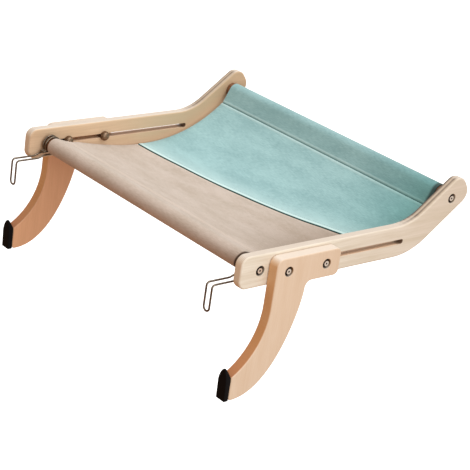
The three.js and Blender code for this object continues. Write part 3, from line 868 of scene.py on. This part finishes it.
def screwTree():
    # each point is the underside of a head; drum, chamfer and shank are joined, and the socket is cut into the top
    tree, given = newTree("socket screws", screw, [
        ("drum", "Head Height", "SUBTRACT", "Head Chamfer"),
        ("drumMiddle", "drum", "MULTIPLY", 0.5),
        ("topRadius", "Head Radius", "SUBTRACT", "Head Chamfer"),
        ("shankMiddle", "Shank Length", "MULTIPLY", -0.5),
        ("cutterLength", "Socket Depth", "MULTIPLY", 2.0),
    ])
    headRadius, chamfer, shankLength = given["Head Radius"], given["Head Chamfer"], given["Shank Length"]
    # a solid, its sizes and how far its middle is lifted
    solids = [
        ("Cylinder", {"Vertices": 40, "Radius": headRadius, "Depth": given["drum"]}, "drumMiddle"),
        ("Cone", {"Vertices": 40, "Radius Top": given["topRadius"], "Radius Bottom": headRadius, "Depth": chamfer},
         "drum"),
        ("Cylinder", {"Vertices": 24, "Radius": given["Shank Radius"], "Depth": shankLength}, "shankMiddle"),
        ("Cylinder", {"Vertices": 6, "Radius": given["Socket Radius"], "Depth": given["cutterLength"]},
         "Head Height"),
    ]
    placed = []
    for solid, sizes, height in solids:
        mesh = addNode(tree, f"GeometryNodeMesh{solid}", sizes)
        lift = addNode(tree, "ShaderNodeCombineXYZ", {"Z": given[height]})
        placed.append(addNode(tree, "GeometryNodeTransform", {"Geometry": mesh, "Translation": lift}))
    *kept, socket = placed
    body = addNode(tree, "GeometryNodeMeshBoolean", {1: kept}, operation="UNION", solver="EXACT")
    cut = addNode(tree, "GeometryNodeMeshBoolean", {0: body, 1: socket}, operation="DIFFERENCE", solver="EXACT")
    return copiesOutwards(tree, cut, given)


def nutTree():
    # each point is the seat; the knurled grip comes first, then the dome, both on the inner side
    tree, given = newTree("cap nuts", nut, [
        ("gripEnd", "Grip Length", "MULTIPLY", -1.0),
        ("hollow", "Grip Radius", "SUBTRACT", "Knurl Depth"),
        ("squeeze", "Dome Height", "DIVIDE", "Dome Radius"),
    ])
    end = addNode(tree, "ShaderNodeCombineXYZ", {"Z": given["gripEnd"]})
    axis = addNode(tree, "GeometryNodeCurvePrimitiveLine", {"Start": end, "End": (0.0, 0.0, 0.0)})
    knurls = addNode(tree, "GeometryNodeCurveStar", {"Points": nutKnurls, "Inner Radius": given["hollow"],
                                                     "Outer Radius": given["Grip Radius"]})
    grip = addNode(tree, "GeometryNodeCurveToMesh", {"Curve": axis, "Profile Curve": knurls, "Fill Caps": True})
    ball = addNode(tree, "GeometryNodeMeshUVSphere", {"Segments": 32, "Rings": 18, "Radius": given["Dome Radius"]})
    flatter = addNode(tree, "ShaderNodeCombineXYZ", {"X": 1.0, "Y": 1.0, "Z": given["squeeze"]})
    dome = addNode(tree, "GeometryNodeTransform", {"Geometry": ball, "Translation": end, "Scale": flatter})
    joined = addNode(tree, "GeometryNodeMeshBoolean", {1: [grip, dome]}, operation="UNION", solver="EXACT")
    return copiesOutwards(tree, joined, given)


screws = screwTree()
nuts = nutTree()


def seatsOf(nodes, headHeight):
    # where each node's head or nut sits, and which way it looks: 1 to the right, -1 to the left
    points, ways = [], []
    for node in nodes:
        low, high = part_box(node)
        middle = (low + high) / 2
        ways.append(1 if node.endswith("right") else -1)
        reach = max(abs(low.x), abs(high.x)) - headHeight * mm
        points.append(Vector((ways[-1] * reach, middle.y, middle.z)))
    return points, ways


def washersAt(name, nodes):
    shape = bmesh.new()
    inner, outer, edge = washer["inner"], washer["outer"], washer["edge"]
    for node in nodes:
        low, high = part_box(node)
        start, end = low.x / mm, high.x / mm
        profile = [(start, inner), (start, outer - edge), (start + edge, outer), (end - edge, outer),
                   (end, outer - edge), (end, inner)]
        ring = objectFromBmesh(f"{node}_ring", turnedShape(profile, middleOf(node), washer["segments"]))
        shape.from_mesh(ring.data)
        bpy.data.objects.remove(ring)
    return smoothShaded(objectFromBmesh(name, shape), 35)


def screwsAt(name, nodes):
    points, ways = seatsOf(nodes, screw["Head Height"])
    low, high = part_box(nodes[-1])
    sizes = {**screw, "Shank Length": (high.x - low.x) / mm - screw["Head Height"]}
    made = runTree(name, screws, points, sizes, "black oxide screw steel with painted shade", ways)
    # black oxide and painted shade: dark all over but the head's flat top, so that a dark rim and a dark socket show
    oxideAndShade = made.data.attributes.new("oxideAndShadeShare", "FLOAT", "CORNER")
    brightRadius = (screw["Head Radius"] - screw["Head Chamfer"] - 0.1) * mm
    brightFrom = max(abs(low.x), abs(high.x)) - 0.2 * mm
    for face in made.data.polygons:
        fromAxis = min((face.center - point).yz.length for point in points)
        bright = abs(face.normal.x) > 0.9 and fromAxis < brightRadius and abs(face.center.x) > brightFrom
        for loop in face.loop_indices:
            oxideAndShade.data[loop].value = 0.0 if bright else 1.0
    return smoothShaded(made, 30)


def fasten(carrier, body, places, suffix=""):
    # the screws and washers of both bars or of one leg
    bolts, rings = ([f"{carrier}_{kind}_{at}" for at in places] for kind in ("bolt", "washer"))
    dress(screwsAt(f"{carrier}_screws{suffix}", bolts), "black oxide screw steel with painted shade", "bolt_steel", body, *bolts)
    dress(washersAt(f"{carrier}_washers{suffix}", rings), "black oxide steel", "black_steel", body, *rings)


barPlaces = [f"{place}_{word}" for word in sides for place in barNames]
fasten("bar", "frame", barPlaces)
for word in sides:
    legPlaces = [f"{place}_{word}" for place in barNames]
    fasten("leg", f"leg_{word}_body", legPlaces, f"_{word}")
    legNuts = [f"leg_cap_nut_{at}" for at in legPlaces]
    points, ways = seatsOf(legNuts, 0)
    made = runTree(f"cap_nuts_{word}", nuts, points, nut, "bronzed steel", ways)
    dress(smoothShaded(made, 30), "bronzed steel", "bolt_steel", f"leg_{word}_body", *legNuts)
for at in barPlaces:
    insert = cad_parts[f"bar_insert_{at}"].data
    insert.materials.clear()
    insert.materials.append(finishOf["turned brass"])
print("fasteners made")


# Wire hooks
hook = {
    "wireSpacing": 12,
    "ringRadius": 13.8,
    "ringPitch": 4,
    "ringTurn": 290,
    "curlRadius": 4,
    "curlTurn": 140,
    "kink": (14, 30, 4),      # start, end and drop
    "reach": 68,
    "drop": 41,
    "bendRadius": 5,
    "steps": {"curl": 16, "ring": 60, "kink": 12, "bend": 10, "tip": 20},
}
wire = {"Wire Radius": 1.5}


def hookHalf():
    # curled end, ring round the bar, arm and bend, as (x off the middle, y, z) in millimetres
    points, steps = [], hook["steps"]
    ringTurn = math.radians(hook["ringTurn"])

    def place(y, z, wound):
        points.append(Vector((hook["wireSpacing"] / 2 - hook["ringPitch"] * wound / (2 * math.pi), y, z)))

    outward = polar(ringTurn - right, 1)
    curlCentre = outward * (hook["ringRadius"] + hook["curlRadius"])
    for share in reversed(shares(steps["curl"])[1:]):
        arm = outward * -hook["curlRadius"]
        arm.rotate(Matrix.Rotation(-math.radians(hook["curlTurn"]) * share, 2))
        place(curlCentre.x + arm.x, curlCentre.y + arm.y, ringTurn)
    for share in shares(steps["ring"]):
        wound = ringTurn * (1 - share)
        place(*polar(wound - right, hook["ringRadius"]), wound)
    kinkStart, kinkEnd, kinkDrop = hook["kink"]
    for share in shares(steps["kink"]):
        eased = (1 - math.cos(math.pi * share)) / 2
        place(-kinkStart - (kinkEnd - kinkStart) * share, -hook["ringRadius"] - kinkDrop * eased, 0)
    level, bend = -hook["ringRadius"] - kinkDrop, hook["bendRadius"]
    for share in shares(steps["bend"]):
        turn = right * (1 + share)
        place(bend * (1 + math.cos(turn)) - hook["reach"], level - bend * (1 - math.sin(turn)), 0)
    return points


def hookPath():
    half, tipRadius = hookHalf(), hook["wireSpacing"] / 2
    low = tipRadius - hook["ringRadius"] - hook["kink"][2] - hook["drop"]
    turns = [math.pi * share for share in shares(hook["steps"]["tip"])]
    tip = [Vector((tipRadius * math.cos(turn), -hook["reach"], low - tipRadius * math.sin(turn))) for turn in turns]
    return half + tip + [Vector((-p.x, p.y, p.z)) for p in reversed(half)]


def wireTree():
    # the host's line is the middle of the wire
    tree, given = newTree("bent wire", wire)
    line = addNode(tree, "GeometryNodeMeshToCurve", {"Mesh": given["Geometry"]})
    wireRound = addNode(tree, "GeometryNodeCurvePrimitiveCircle", {"Resolution": 14, "Radius": given["Wire Radius"]})
    swept = addNode(tree, "GeometryNodeCurveToMesh", {"Curve": line, "Profile Curve": wireRound, "Fill Caps": True})
    return endTree(tree, swept, given)


bentWire = wireTree()
for word in sides:
    centre = Vector((middleOf(f"sill_hook_{word}").x, frontBarAt.y, frontBarAt.z))
    points = [point * mm + centre for point in hookPath()]
    made = runTree(f"hook_wire_{word}", bentWire, points, wire, "drawn steel wire")
    dress(smoothShaded(made, 50), "drawn steel wire", "hook_wire", f"hook_{word}_body", f"sill_hook_{word}")
print("hooks made")


# Cloth: a sheet round each bar, sewn into a sleeve, the two meeting on a skewed border
cloth = {
    "thickness": 1.4,
    "barClearance": 0.3,
    "sheetWidth": 496.4,
    "flareReach": 24,               # the front sheet widens over this length behind its narrow sleeve
    "frontSeam": (27, 4),           # from the front bar's axis
    "rearSeam": (-24.5, -18.5),     # from the rear bar's axis
    "sagFront": (110, -27),         # pull of the hanging curve at its front end
    "sagRear": (-100, -80),
    "middleSag": 2,
    "borderMiddle": 199,
    "borderSkew": 38,
    "borderBow": 14.5,
    "borderLap": 7,                 # how far the front sheet goes on below the rear one
    "lapDrop": 1.5,
    "hemWidth": 10,
    "hemRise": 0.6,
    "seamFlap": 9,
    "ripple": 1.6,
    "waves": ((115, 70, 3.1, 1), (42, 34, 7.7, 0.3), (260, 24, 5.2, 0.6)),     # length in X and Y, seed and share
    "stations": 100,
    "endStations": (0, 1.5, 3, 4.5, 6, 7.5, 9, 10.5, 12, 14),     # from each raw end
    "steps": {"flap": 4, "fold": 8, "sleeve": 40, "gap": 4, "tail": 44, "sag": 200, "stitches": 120},
    "shadeFrom": (50, 175, 1.6),    # to the right of the middle, how much further it is full, and its power
    "leastShade": 0.15,
    "sleeveHalf": 14,
    "stitchedShare": 0.992,         # a row of stitches stops just short of the raw ends
}
# Across a seam or the border: where a ridge, a groove or a tone lies, how wide it is, and last how strong. The tones
# beside the seams, before the lap and on the hem are painted highlight; those in the groove and on the border line are
# painted shade.
section = {
    "lip": (2.6, 1.7),
    # painted highlight beside the seam
    "lipHighlight": (2.6, 1.5),
    "groove": (0, 1.1),
    # painted shade down in the seam
    "grooveShade": (0, 1.0),
    "lap": (-2, 3),
    # painted highlight on the front sheet before the lap
    "lapHighlight": (-4.2, 1.6, 0.6),
    "hemStep": (0, 1.5),
    "hemDip": (0, 0.8, 0.5),
    # the next two: painted highlight on the hem
    "hemHighlight": (0, 26, 0.35),
    "hemHighlightLine": (3.4, 3.6, 0.5),
    # painted shadow line along the border
    "borderShadowLine": (2.1, 0.8),
}
# Rows of points lie close together here, counted from the seam and from the end of the sheet past its hem
seamRows = (8, 6.5, 5.4, 4.6, 3.9, 3.3, 2.7, 2.1, 1.6, 1.1, 0.7, 0.35)
hemRows = (10, 5, 2, 1, -0.5)
borderRows = (6, 4, 3, 2.4, 1.8, 1.2, 0.7, 0)
frontSheetLook = {
    "sleeveWidth": 479,
    "groove": 0.0,                  # depth of the sewn line
    "lip": 0.9,                     # height of the puffed cloth beside it
    # painted shade down in the sewn line
    "grooveShade": 0.1,
    # painted highlight on the cloth beside the sewn line
    "lipHighlight": 0.75,
    # painted shade on the sleeve
    "sleeveShade": 0.0,              # how far the sleeve leans to the groove's colour
    # painted shade at the right-hand cut end
    "rawEndShade": (5, 11, 1.5),         # width of the dark end on top of the sleeve and under it, and its soft border
    "shadeBehind": (20, 110),       # the shade starts here and is full this much further back
}
rearSheetLook = {
    "sleeveWidth": 496.4,
    "groove": 1.4,
    "lip": 0.7,
    # painted shade down in the sewn line
    "grooveShade": 1.0,
    # painted highlight on the cloth beside the sewn line
    "lipHighlight": 0.4,
    # painted shade on the sleeve
    "sleeveShade": 0.12,
    # painted shade at the right-hand cut end
    "rawEndShade": (9, 9, 4),
    "shadeBehind": (215, 110),
}
frontSeamAt = Vector(cloth["frontSeam"])
rearSeamAt = rearBarOffset + Vector(cloth["rearSeam"])
sagPoints = [frontSeamAt]
sagPoints += bezier([frontSeamAt, frontSeamAt + Vector(cloth["sagFront"]), rearSeamAt + Vector(cloth["sagRear"]),
                     rearSeamAt], cloth["steps"]["sag"])


def hangingHeight(y):
    for first, second in zip(sagPoints, sagPoints[1:]):
        if y <= second.x:
            break
    share = (y - first.x) / (second.x - first.x)
    return first.y + (second.y - first.y) * share


def sheetHeight(across, y):
    along = clamp((y - frontSeamAt.x) / (rearSeamAt.x - frontSeamAt.x))
    belly = math.sin(math.pi * along)
    x = across * cloth["sheetWidth"] / 2
    soft = sum(part * noise.noise(Vector((x / wide, y / long, seed))) for wide, long, seed, part in cloth["waves"])
    ripple = cloth["ripple"] * soft * belly ** 0.5 * (1 - across ** 4)
    return hangingHeight(y) - cloth["middleSag"] * belly * (1 - across ** 2) + ripple


def borderPlace(across):
    return cloth["borderMiddle"] + cloth["borderSkew"] * across + cloth["borderBow"] * across ** 2


def widthAt(y, sleeveWidth):
    share = clamp((y - frontSeamAt.x) / cloth["flareReach"])
    return sleeveWidth + (cloth["sheetWidth"] - sleeveWidth) * share * share * (3 - 2 * share)


def hump(distance, middle, width, strength=1):
    return strength * math.exp(-((distance - middle) / width) ** 2)


def clothPath(across, core, seam, way, look):
    # way is 1 for the front sleeve and -1 for the rear one: flap under the seam, round the bar, seam, tail.
    # Each point comes with its share of painted highlight, and its share of painted shade in the seam, on the sleeve
    # and on the border line.
    thickness, steps = cloth["thickness"], cloth["steps"]
    loop = bar["radius"] + cloth["barClearance"] + thickness / 2
    toSeam = seam - core
    axis = math.atan2(toSeam.y, toSeam.x)
    half = math.acos(loop / toSeam.length)
    drop = Vector((0, thickness * 1.15 + look["groove"]))
    border = borderPlace(across)
    path = []

    def add(point, highlight=0.0, groove=0.0):
        path.append((point, highlight, groove))

    def addNearSeam(point, distance, tone=0.0):
        lip, groove, lipHighlight, sunk = (look[name] * hump(distance, *section[name])
                                      for name in ("lip", "groove", "lipHighlight", "grooveShade"))
        add(point + Vector((0, lip - groove)), lipHighlight, tone + (1 - tone) * sunk)

    for share in spread(1, 0, steps["flap"]):
        y = seam.x + way * cloth["seamFlap"] * share
        add(Vector((y, sheetHeight(across, y))) - drop)
    lowTurn = axis - way * half
    topTurn = lowTurn - way * (2 * math.pi - 2 * half)
    lowPoint, topPoint = core + polar(lowTurn, loop), core + polar(topTurn, loop)
    seamTop = Vector((seam.x, sheetHeight(across, seam.x)))
    for point in spread(seamTop - drop, lowPoint, steps["fold"]):
        add(point)
    for turn in spread(lowTurn, topTurn, steps["sleeve"]):
        # painted shade on the sleeve
        add(core + polar(turn, loop), 0.0, look["sleeveShade"])
    reach = (seamTop - topPoint).length
    closest = seamRows[0]
    for distance in [*spread(reach, closest, steps["gap"]), *seamRows] if reach > closest + 1 else seamRows:
        addNearSeam(seamTop + (topPoint - seamTop) * distance / reach, distance, look["sleeveShade"])
    end = border + (cloth["borderLap"] if way > 0 else 0)
    length = abs(end - seam.x)
    hemWidth = cloth["hemWidth"]
    nearEnd = [*(hemWidth + row for row in hemRows), *borderRows]
    distances = [0, *reversed(seamRows), *spread(closest + 2, length - nearEnd[0], steps["tail"]),
                 *[length - distance for distance in nearEnd]]
    for distance in distances:
        y = seam.x + way * distance
        z = sheetHeight(across, y)
        past, toBorder = y - border, abs(border - y)
        if way > 0:
            lapStart, lapLength = section["lap"]
            z -= cloth["lapDrop"] * clamp((past - lapStart) / lapLength)
            # painted highlight on the front sheet just before the lap
            highlight, groove = hump(past, *section["lapHighlight"]), 0.0
        else:
            pastHem = toBorder - hemWidth
            z += cloth["hemRise"] * (1 if pastHem < 0 else hump(pastHem, *section["hemStep"]))
            z -= hump(pastHem, *section["hemDip"])
            # painted highlight on the hem
            highlight = hump(toBorder, *section["hemHighlight"]) + hump(toBorder, *section["hemHighlightLine"])
            # painted shadow line along the border's edge
            lineEnd, soft = section["borderShadowLine"]
            groove = clamp((lineEnd - toBorder) / soft)
        if distance <= closest:
            addNearSeam(Vector((y, z)), distance)
        else:
            add(Vector((y, z)), highlight, groove)
    return path


def shadeAt(x, y, look):
    # painted shade: the cloth is darker towards the right-hand panel, most of all at the back of each sheet
    (start, length), (first, reach, power) = look["shadeBehind"], cloth["shadeFrom"]
    behind = min(max((y - start) / length, cloth["leastShade"]), 1)
    return behind * clamp((x - first) / reach) ** power


def rawEndShadeAt(x, z, barHeight, look):
    # x and z in millimetres; painted shade: the right-hand cut end of the sleeve and of the sheet is darkened where it
    # lies in the gap beside the panel
    (top, under, soft), half = look["rawEndShade"], cloth["sleeveHalf"]
    low = clamp((barHeight + half - z) / (2 * half))
    toEnd = look["sleeveWidth"] / 2 - x
    return clamp((top + (under - top) * low - toEnd) / soft)


def clothSheet(name, core, seam, way, look):
    halfWidth = cloth["sheetWidth"] / 2
    inner, *ends = (1 - reach / halfWidth for reach in reversed(cloth["endStations"]))
    middle = [inner * (2 * share - 1) for share in shares(cloth["stations"])]
    acrosses = [-end for end in reversed(ends)] + middle + ends
    shape = bmesh.new()
    flatMap = shape.loops.layers.uv.new("clothMap")
    # painted highlight; painted shade in the seams, on the sleeve and along the border; painted shade towards the
    # right-hand panel; painted shade at the raw ends
    marks = [shape.verts.layers.float.new(f"{mark}Share") for mark in ("highlight", "groove", "shade", "end")]
    grid, lengths = [], []
    for across in acrosses:
        path = clothPath(across, core, seam, way, look)
        length, run, line = 0, [], []
        before = path[0][0]
        for point, highlight, groove in path:
            length += (point - before).length
            run.append(length)
            before = point
            x = across * widthAt(point.x, look["sleeveWidth"]) / 2
            vertex = shape.verts.new(Vector((x, point.x, point.y)) * mm + frontBarAt)
            found = highlight, groove, shadeAt(x, point.x, look), rawEndShadeAt(x, point.y, core.y, look)
            for mark, share in zip(marks, found):
                vertex[mark] = share
            line.append(vertex)
        lengths.append(run)
        grid.append(line)
    area = 0
    for station in range(len(grid) - 1):
        for step in range(len(grid[0]) - 1):
            spots = [(station, step), (station + 1, step), (station + 1, step + 1), (station, step + 1)]
            face = shape.faces.new([grid[a][b] for a, b in spots])
            area += face.calc_area()
            for corner, (a, b) in zip(face.loops, spots):
                corner[flatMap].uv = (acrosses[a] * halfWidth * mm, lengths[a][b] * mm)
    host = objectFromBmesh(name, shape)
    solidify = host.modifiers.new("thickness", "SOLIDIFY")
    solidify.thickness = cloth["thickness"] * mm
    solidify.offset = 0
    piece = plainMesh(host, name)
    turnOut = bmesh.new()
    turnOut.from_mesh(piece.data)
    bmesh.ops.recalc_face_normals(turnOut, faces=turnOut.faces)
    turnOut.to_mesh(piece.data)
    turnOut.free()
    average = sum(run[-1] for run in lengths) / len(lengths)
    print(f"{name}: cut length {average:.1f} mm on average, {area * 1e6:.0f} square mm")
    return smoothShaded(piece, 60)


frontSheet = clothSheet("front_sheet", Vector((0, 0)), frontSeamAt, 1, frontSheetLook)
rearSheet = clothSheet("rear_sheet", rearBarOffset, rearSeamAt, -1, rearSheetLook)
dress(frontSheet, "beige cotton canvas", "beige_cloth", "frame", "front_cloth")
dress(rearSheet, "blue cotton canvas", "blue_cloth", "frame", "rear_cloth")

# Stitches: thread lying in the cloth along a line
stitch = {
    "Pitch": 4.2,
    "Length": 3.0,
    "Thread Radius": 0.4,
}


def stitchTree():
    tree, given = newTree("stitch row", stitch, [("half", "Length", "MULTIPLY", 0.5)])
    line = addNode(tree, "GeometryNodeMeshToCurve", {"Mesh": given["Geometry"]})
    spots = addNode(tree, "GeometryNodeCurveToPoints", {"Curve": line, "Length": given["Pitch"]}, mode="LENGTH")
    bead = addNode(tree, "GeometryNodeMeshUVSphere", {"Segments": 6, "Rings": 5, "Radius": 1.0})
    size = addNode(tree, "ShaderNodeCombineXYZ", {"X": given["Thread Radius"], "Y": given["Thread Radius"],
                                                  "Z": given["half"]})
    thread = addNode(tree, "GeometryNodeTransform", {"Geometry": bead, "Scale": size})
    copies = addNode(tree, "GeometryNodeInstanceOnPoints", {
        "Points": spots, "Instance": thread, "Rotation": spots.outputs["Rotation"]})
    return endTree(tree, copies, given)


stitchRows = stitchTree()


def stitchRow(name, sleeveWidth, yOf, raised, threadName, slotName):
    # a row from side to side, at yOf(across), lying on the cloth
    points = []
    last = cloth["stitchedShare"]
    for across in spread(-last, last, cloth["steps"]["stitches"]) + [last]:
        y = yOf(across)
        x = across * widthAt(y, sleeveWidth) / 2
        points.append(Vector((x, y, sheetHeight(across, y) + raised)) * mm + frontBarAt)
    row = runTree(name, stitchRows, points, stitch, threadName)
    return dress(smoothShaded(row, 80), threadName, slotName, "frame")


top, wholeWidth = cloth["thickness"] / 2, cloth["sheetWidth"]
rearStitches = stitchRow("rear_seam_stitches", wholeWidth, lambda across: rearSeamAt.x,
                         top - rearSheetLook["groove"], "teal sewing thread", "blue_cloth")
hemStitches = stitchRow("hem_stitches", wholeWidth, lambda across: borderPlace(across) + cloth["hemWidth"], top,
                        "teal sewing thread", "blue_cloth")
frontStitches = stitchRow("front_seam_stitches", frontSheetLook["sleeveWidth"], lambda across: frontSeamAt.x,
                          top + 0.1, "beige sewing thread", "beige_cloth")
print("cloth made")


# Floor, light and camera
studio = {
    "floorDrop": 0.62,
    "floorReach": 60,
    "floorColour": "#FFFFFF",
    "floorGlow": 0.45,                      # the floor is lit from below as well, like a photographer's light table
    "keyFrom": (0.35, 0.2, 0.9),
    "keyStrength": 1.0,
    "keyAngle": 40,
    "keyColour": "#FFFCF8",
    "skyFrom": (0.35, 0.4, 0.85),
    "skyStrength": 0.78,
    # name: place, aimed at, size in metres and watts
    "softboxes": {
        "window softbox": ((-0.75, 0.55, 1.25), (-0.1, 0.25, 0), 0.7, 5),
        "side softbox": ((1.25, -0.15, 0.3), (0.27, 0.2, 0), 0.7, 5),
    },
    # share of the way from the dark side (0) to skyFrom (1), and the colour there
    "skyTones": [(0.0, "#B87748"), (0.3, "#CE9A70"), (0.5, "#E4D5C8"), (0.7, "#FAF7F5"), (1.0, "#FFFFFF")],
}


def lookAt(place, target):
    turn = (Vector(target) - Vector(place)).to_track_quat("-Z", "Y")
    return turn.to_matrix().to_4x4()


floor = bpy.data.meshes.new("floor")
floorLevel, reach = cadLow.z - studio["floorDrop"], studio["floorReach"]
floor.from_pydata([(x * reach, y * reach, floorLevel) for x, y in ((-1, -1), (1, -1), (1, 1), (-1, 1))], [],
                  [(0, 1, 2, 3)])
floorPiece = newObject("floor", floor)
floorPaint, floorTree = newMaterial("matt white floor")
floorSurface = addNode(floorTree, "ShaderNodeBsdfPrincipled", {
    "Base Color": linear(studio["floorColour"]), "Roughness": 0.9,
    "Emission Color": linear(studio["floorColour"]), "Emission Strength": studio["floorGlow"]})
addNode(floorTree, "ShaderNodeOutputMaterial", {"Surface": floorSurface})
floor.materials.append(floorPaint)
floorPiece.visible_diffuse = False
floorPiece.visible_glossy = False
floorPiece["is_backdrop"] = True

key = bpy.data.lights.new("key light", "SUN")
key.energy = studio["keyStrength"]
key.angle = math.radians(studio["keyAngle"])
key.color = linear(studio["keyColour"])[:3]
newObject("key light", key).matrix_world = lookAt(studio["keyFrom"], (0, 0, 0))

for name, (place, target, size, watts) in studio["softboxes"].items():
    lamp = bpy.data.lights.new(name, "AREA")
    lamp.shape = "SQUARE"
    lamp.size = size
    lamp.energy = watts
    holder = newObject(name, lamp)
    holder.matrix_world = Matrix.Translation(place) @ lookAt(place, target)
    holder.visible_camera = False

world = bpy.data.worlds.new("studio")
world.use_nodes = True
skyTree = world.node_tree
skyTree.nodes.clear()
direction = addNode(skyTree, "ShaderNodeTexCoord").outputs["Generated"]
towards = addNode(skyTree, "ShaderNodeVectorMath", {0: direction, 1: Vector(studio["skyFrom"]).normalized()},
                  operation="DOT_PRODUCT")
share = addNode(skyTree, "ShaderNodeMapRange", {
    "Value": towards.outputs["Value"], "From Min": -1.0, "From Max": 1.0})
tones = addNode(skyTree, "ShaderNodeValToRGB", {"Fac": share})
stops = tones.color_ramp.elements
while len(stops) < len(studio["skyTones"]):
    stops.new(0.5)
for stop, (position, colour) in zip(stops, studio["skyTones"]):
    stop.position = position
    stop.color = linear(colour)
sky = addNode(skyTree, "ShaderNodeBackground", {"Color": tones, "Strength": studio["skyStrength"]})
addNode(skyTree, "ShaderNodeOutputWorld", {"Surface": sky})
bpy.context.scene.world = world
bpy.context.scene.view_settings.view_transform = "Standard"

view = {
    "place": (1.7453, -1.3547, 0.8989),
    "turn": (67.514, -7.847, 50.453),      # degrees about X, Y and Z
    "lens": 123.06,
    "shift": (0.0032, 0.0077),
}
camera = bpy.data.cameras.new("camera")
camera.lens = view["lens"]
camera.sensor_width = 36
camera.shift_x, camera.shift_y = view["shift"]
cameraHolder = newObject("camera", camera)
cameraHolder.location = view["place"]
cameraHolder.rotation_euler = [math.radians(turn) for turn in view["turn"]]
bpy.context.scene.camera = cameraHolder
print("floor, light and camera set")

low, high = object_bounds()
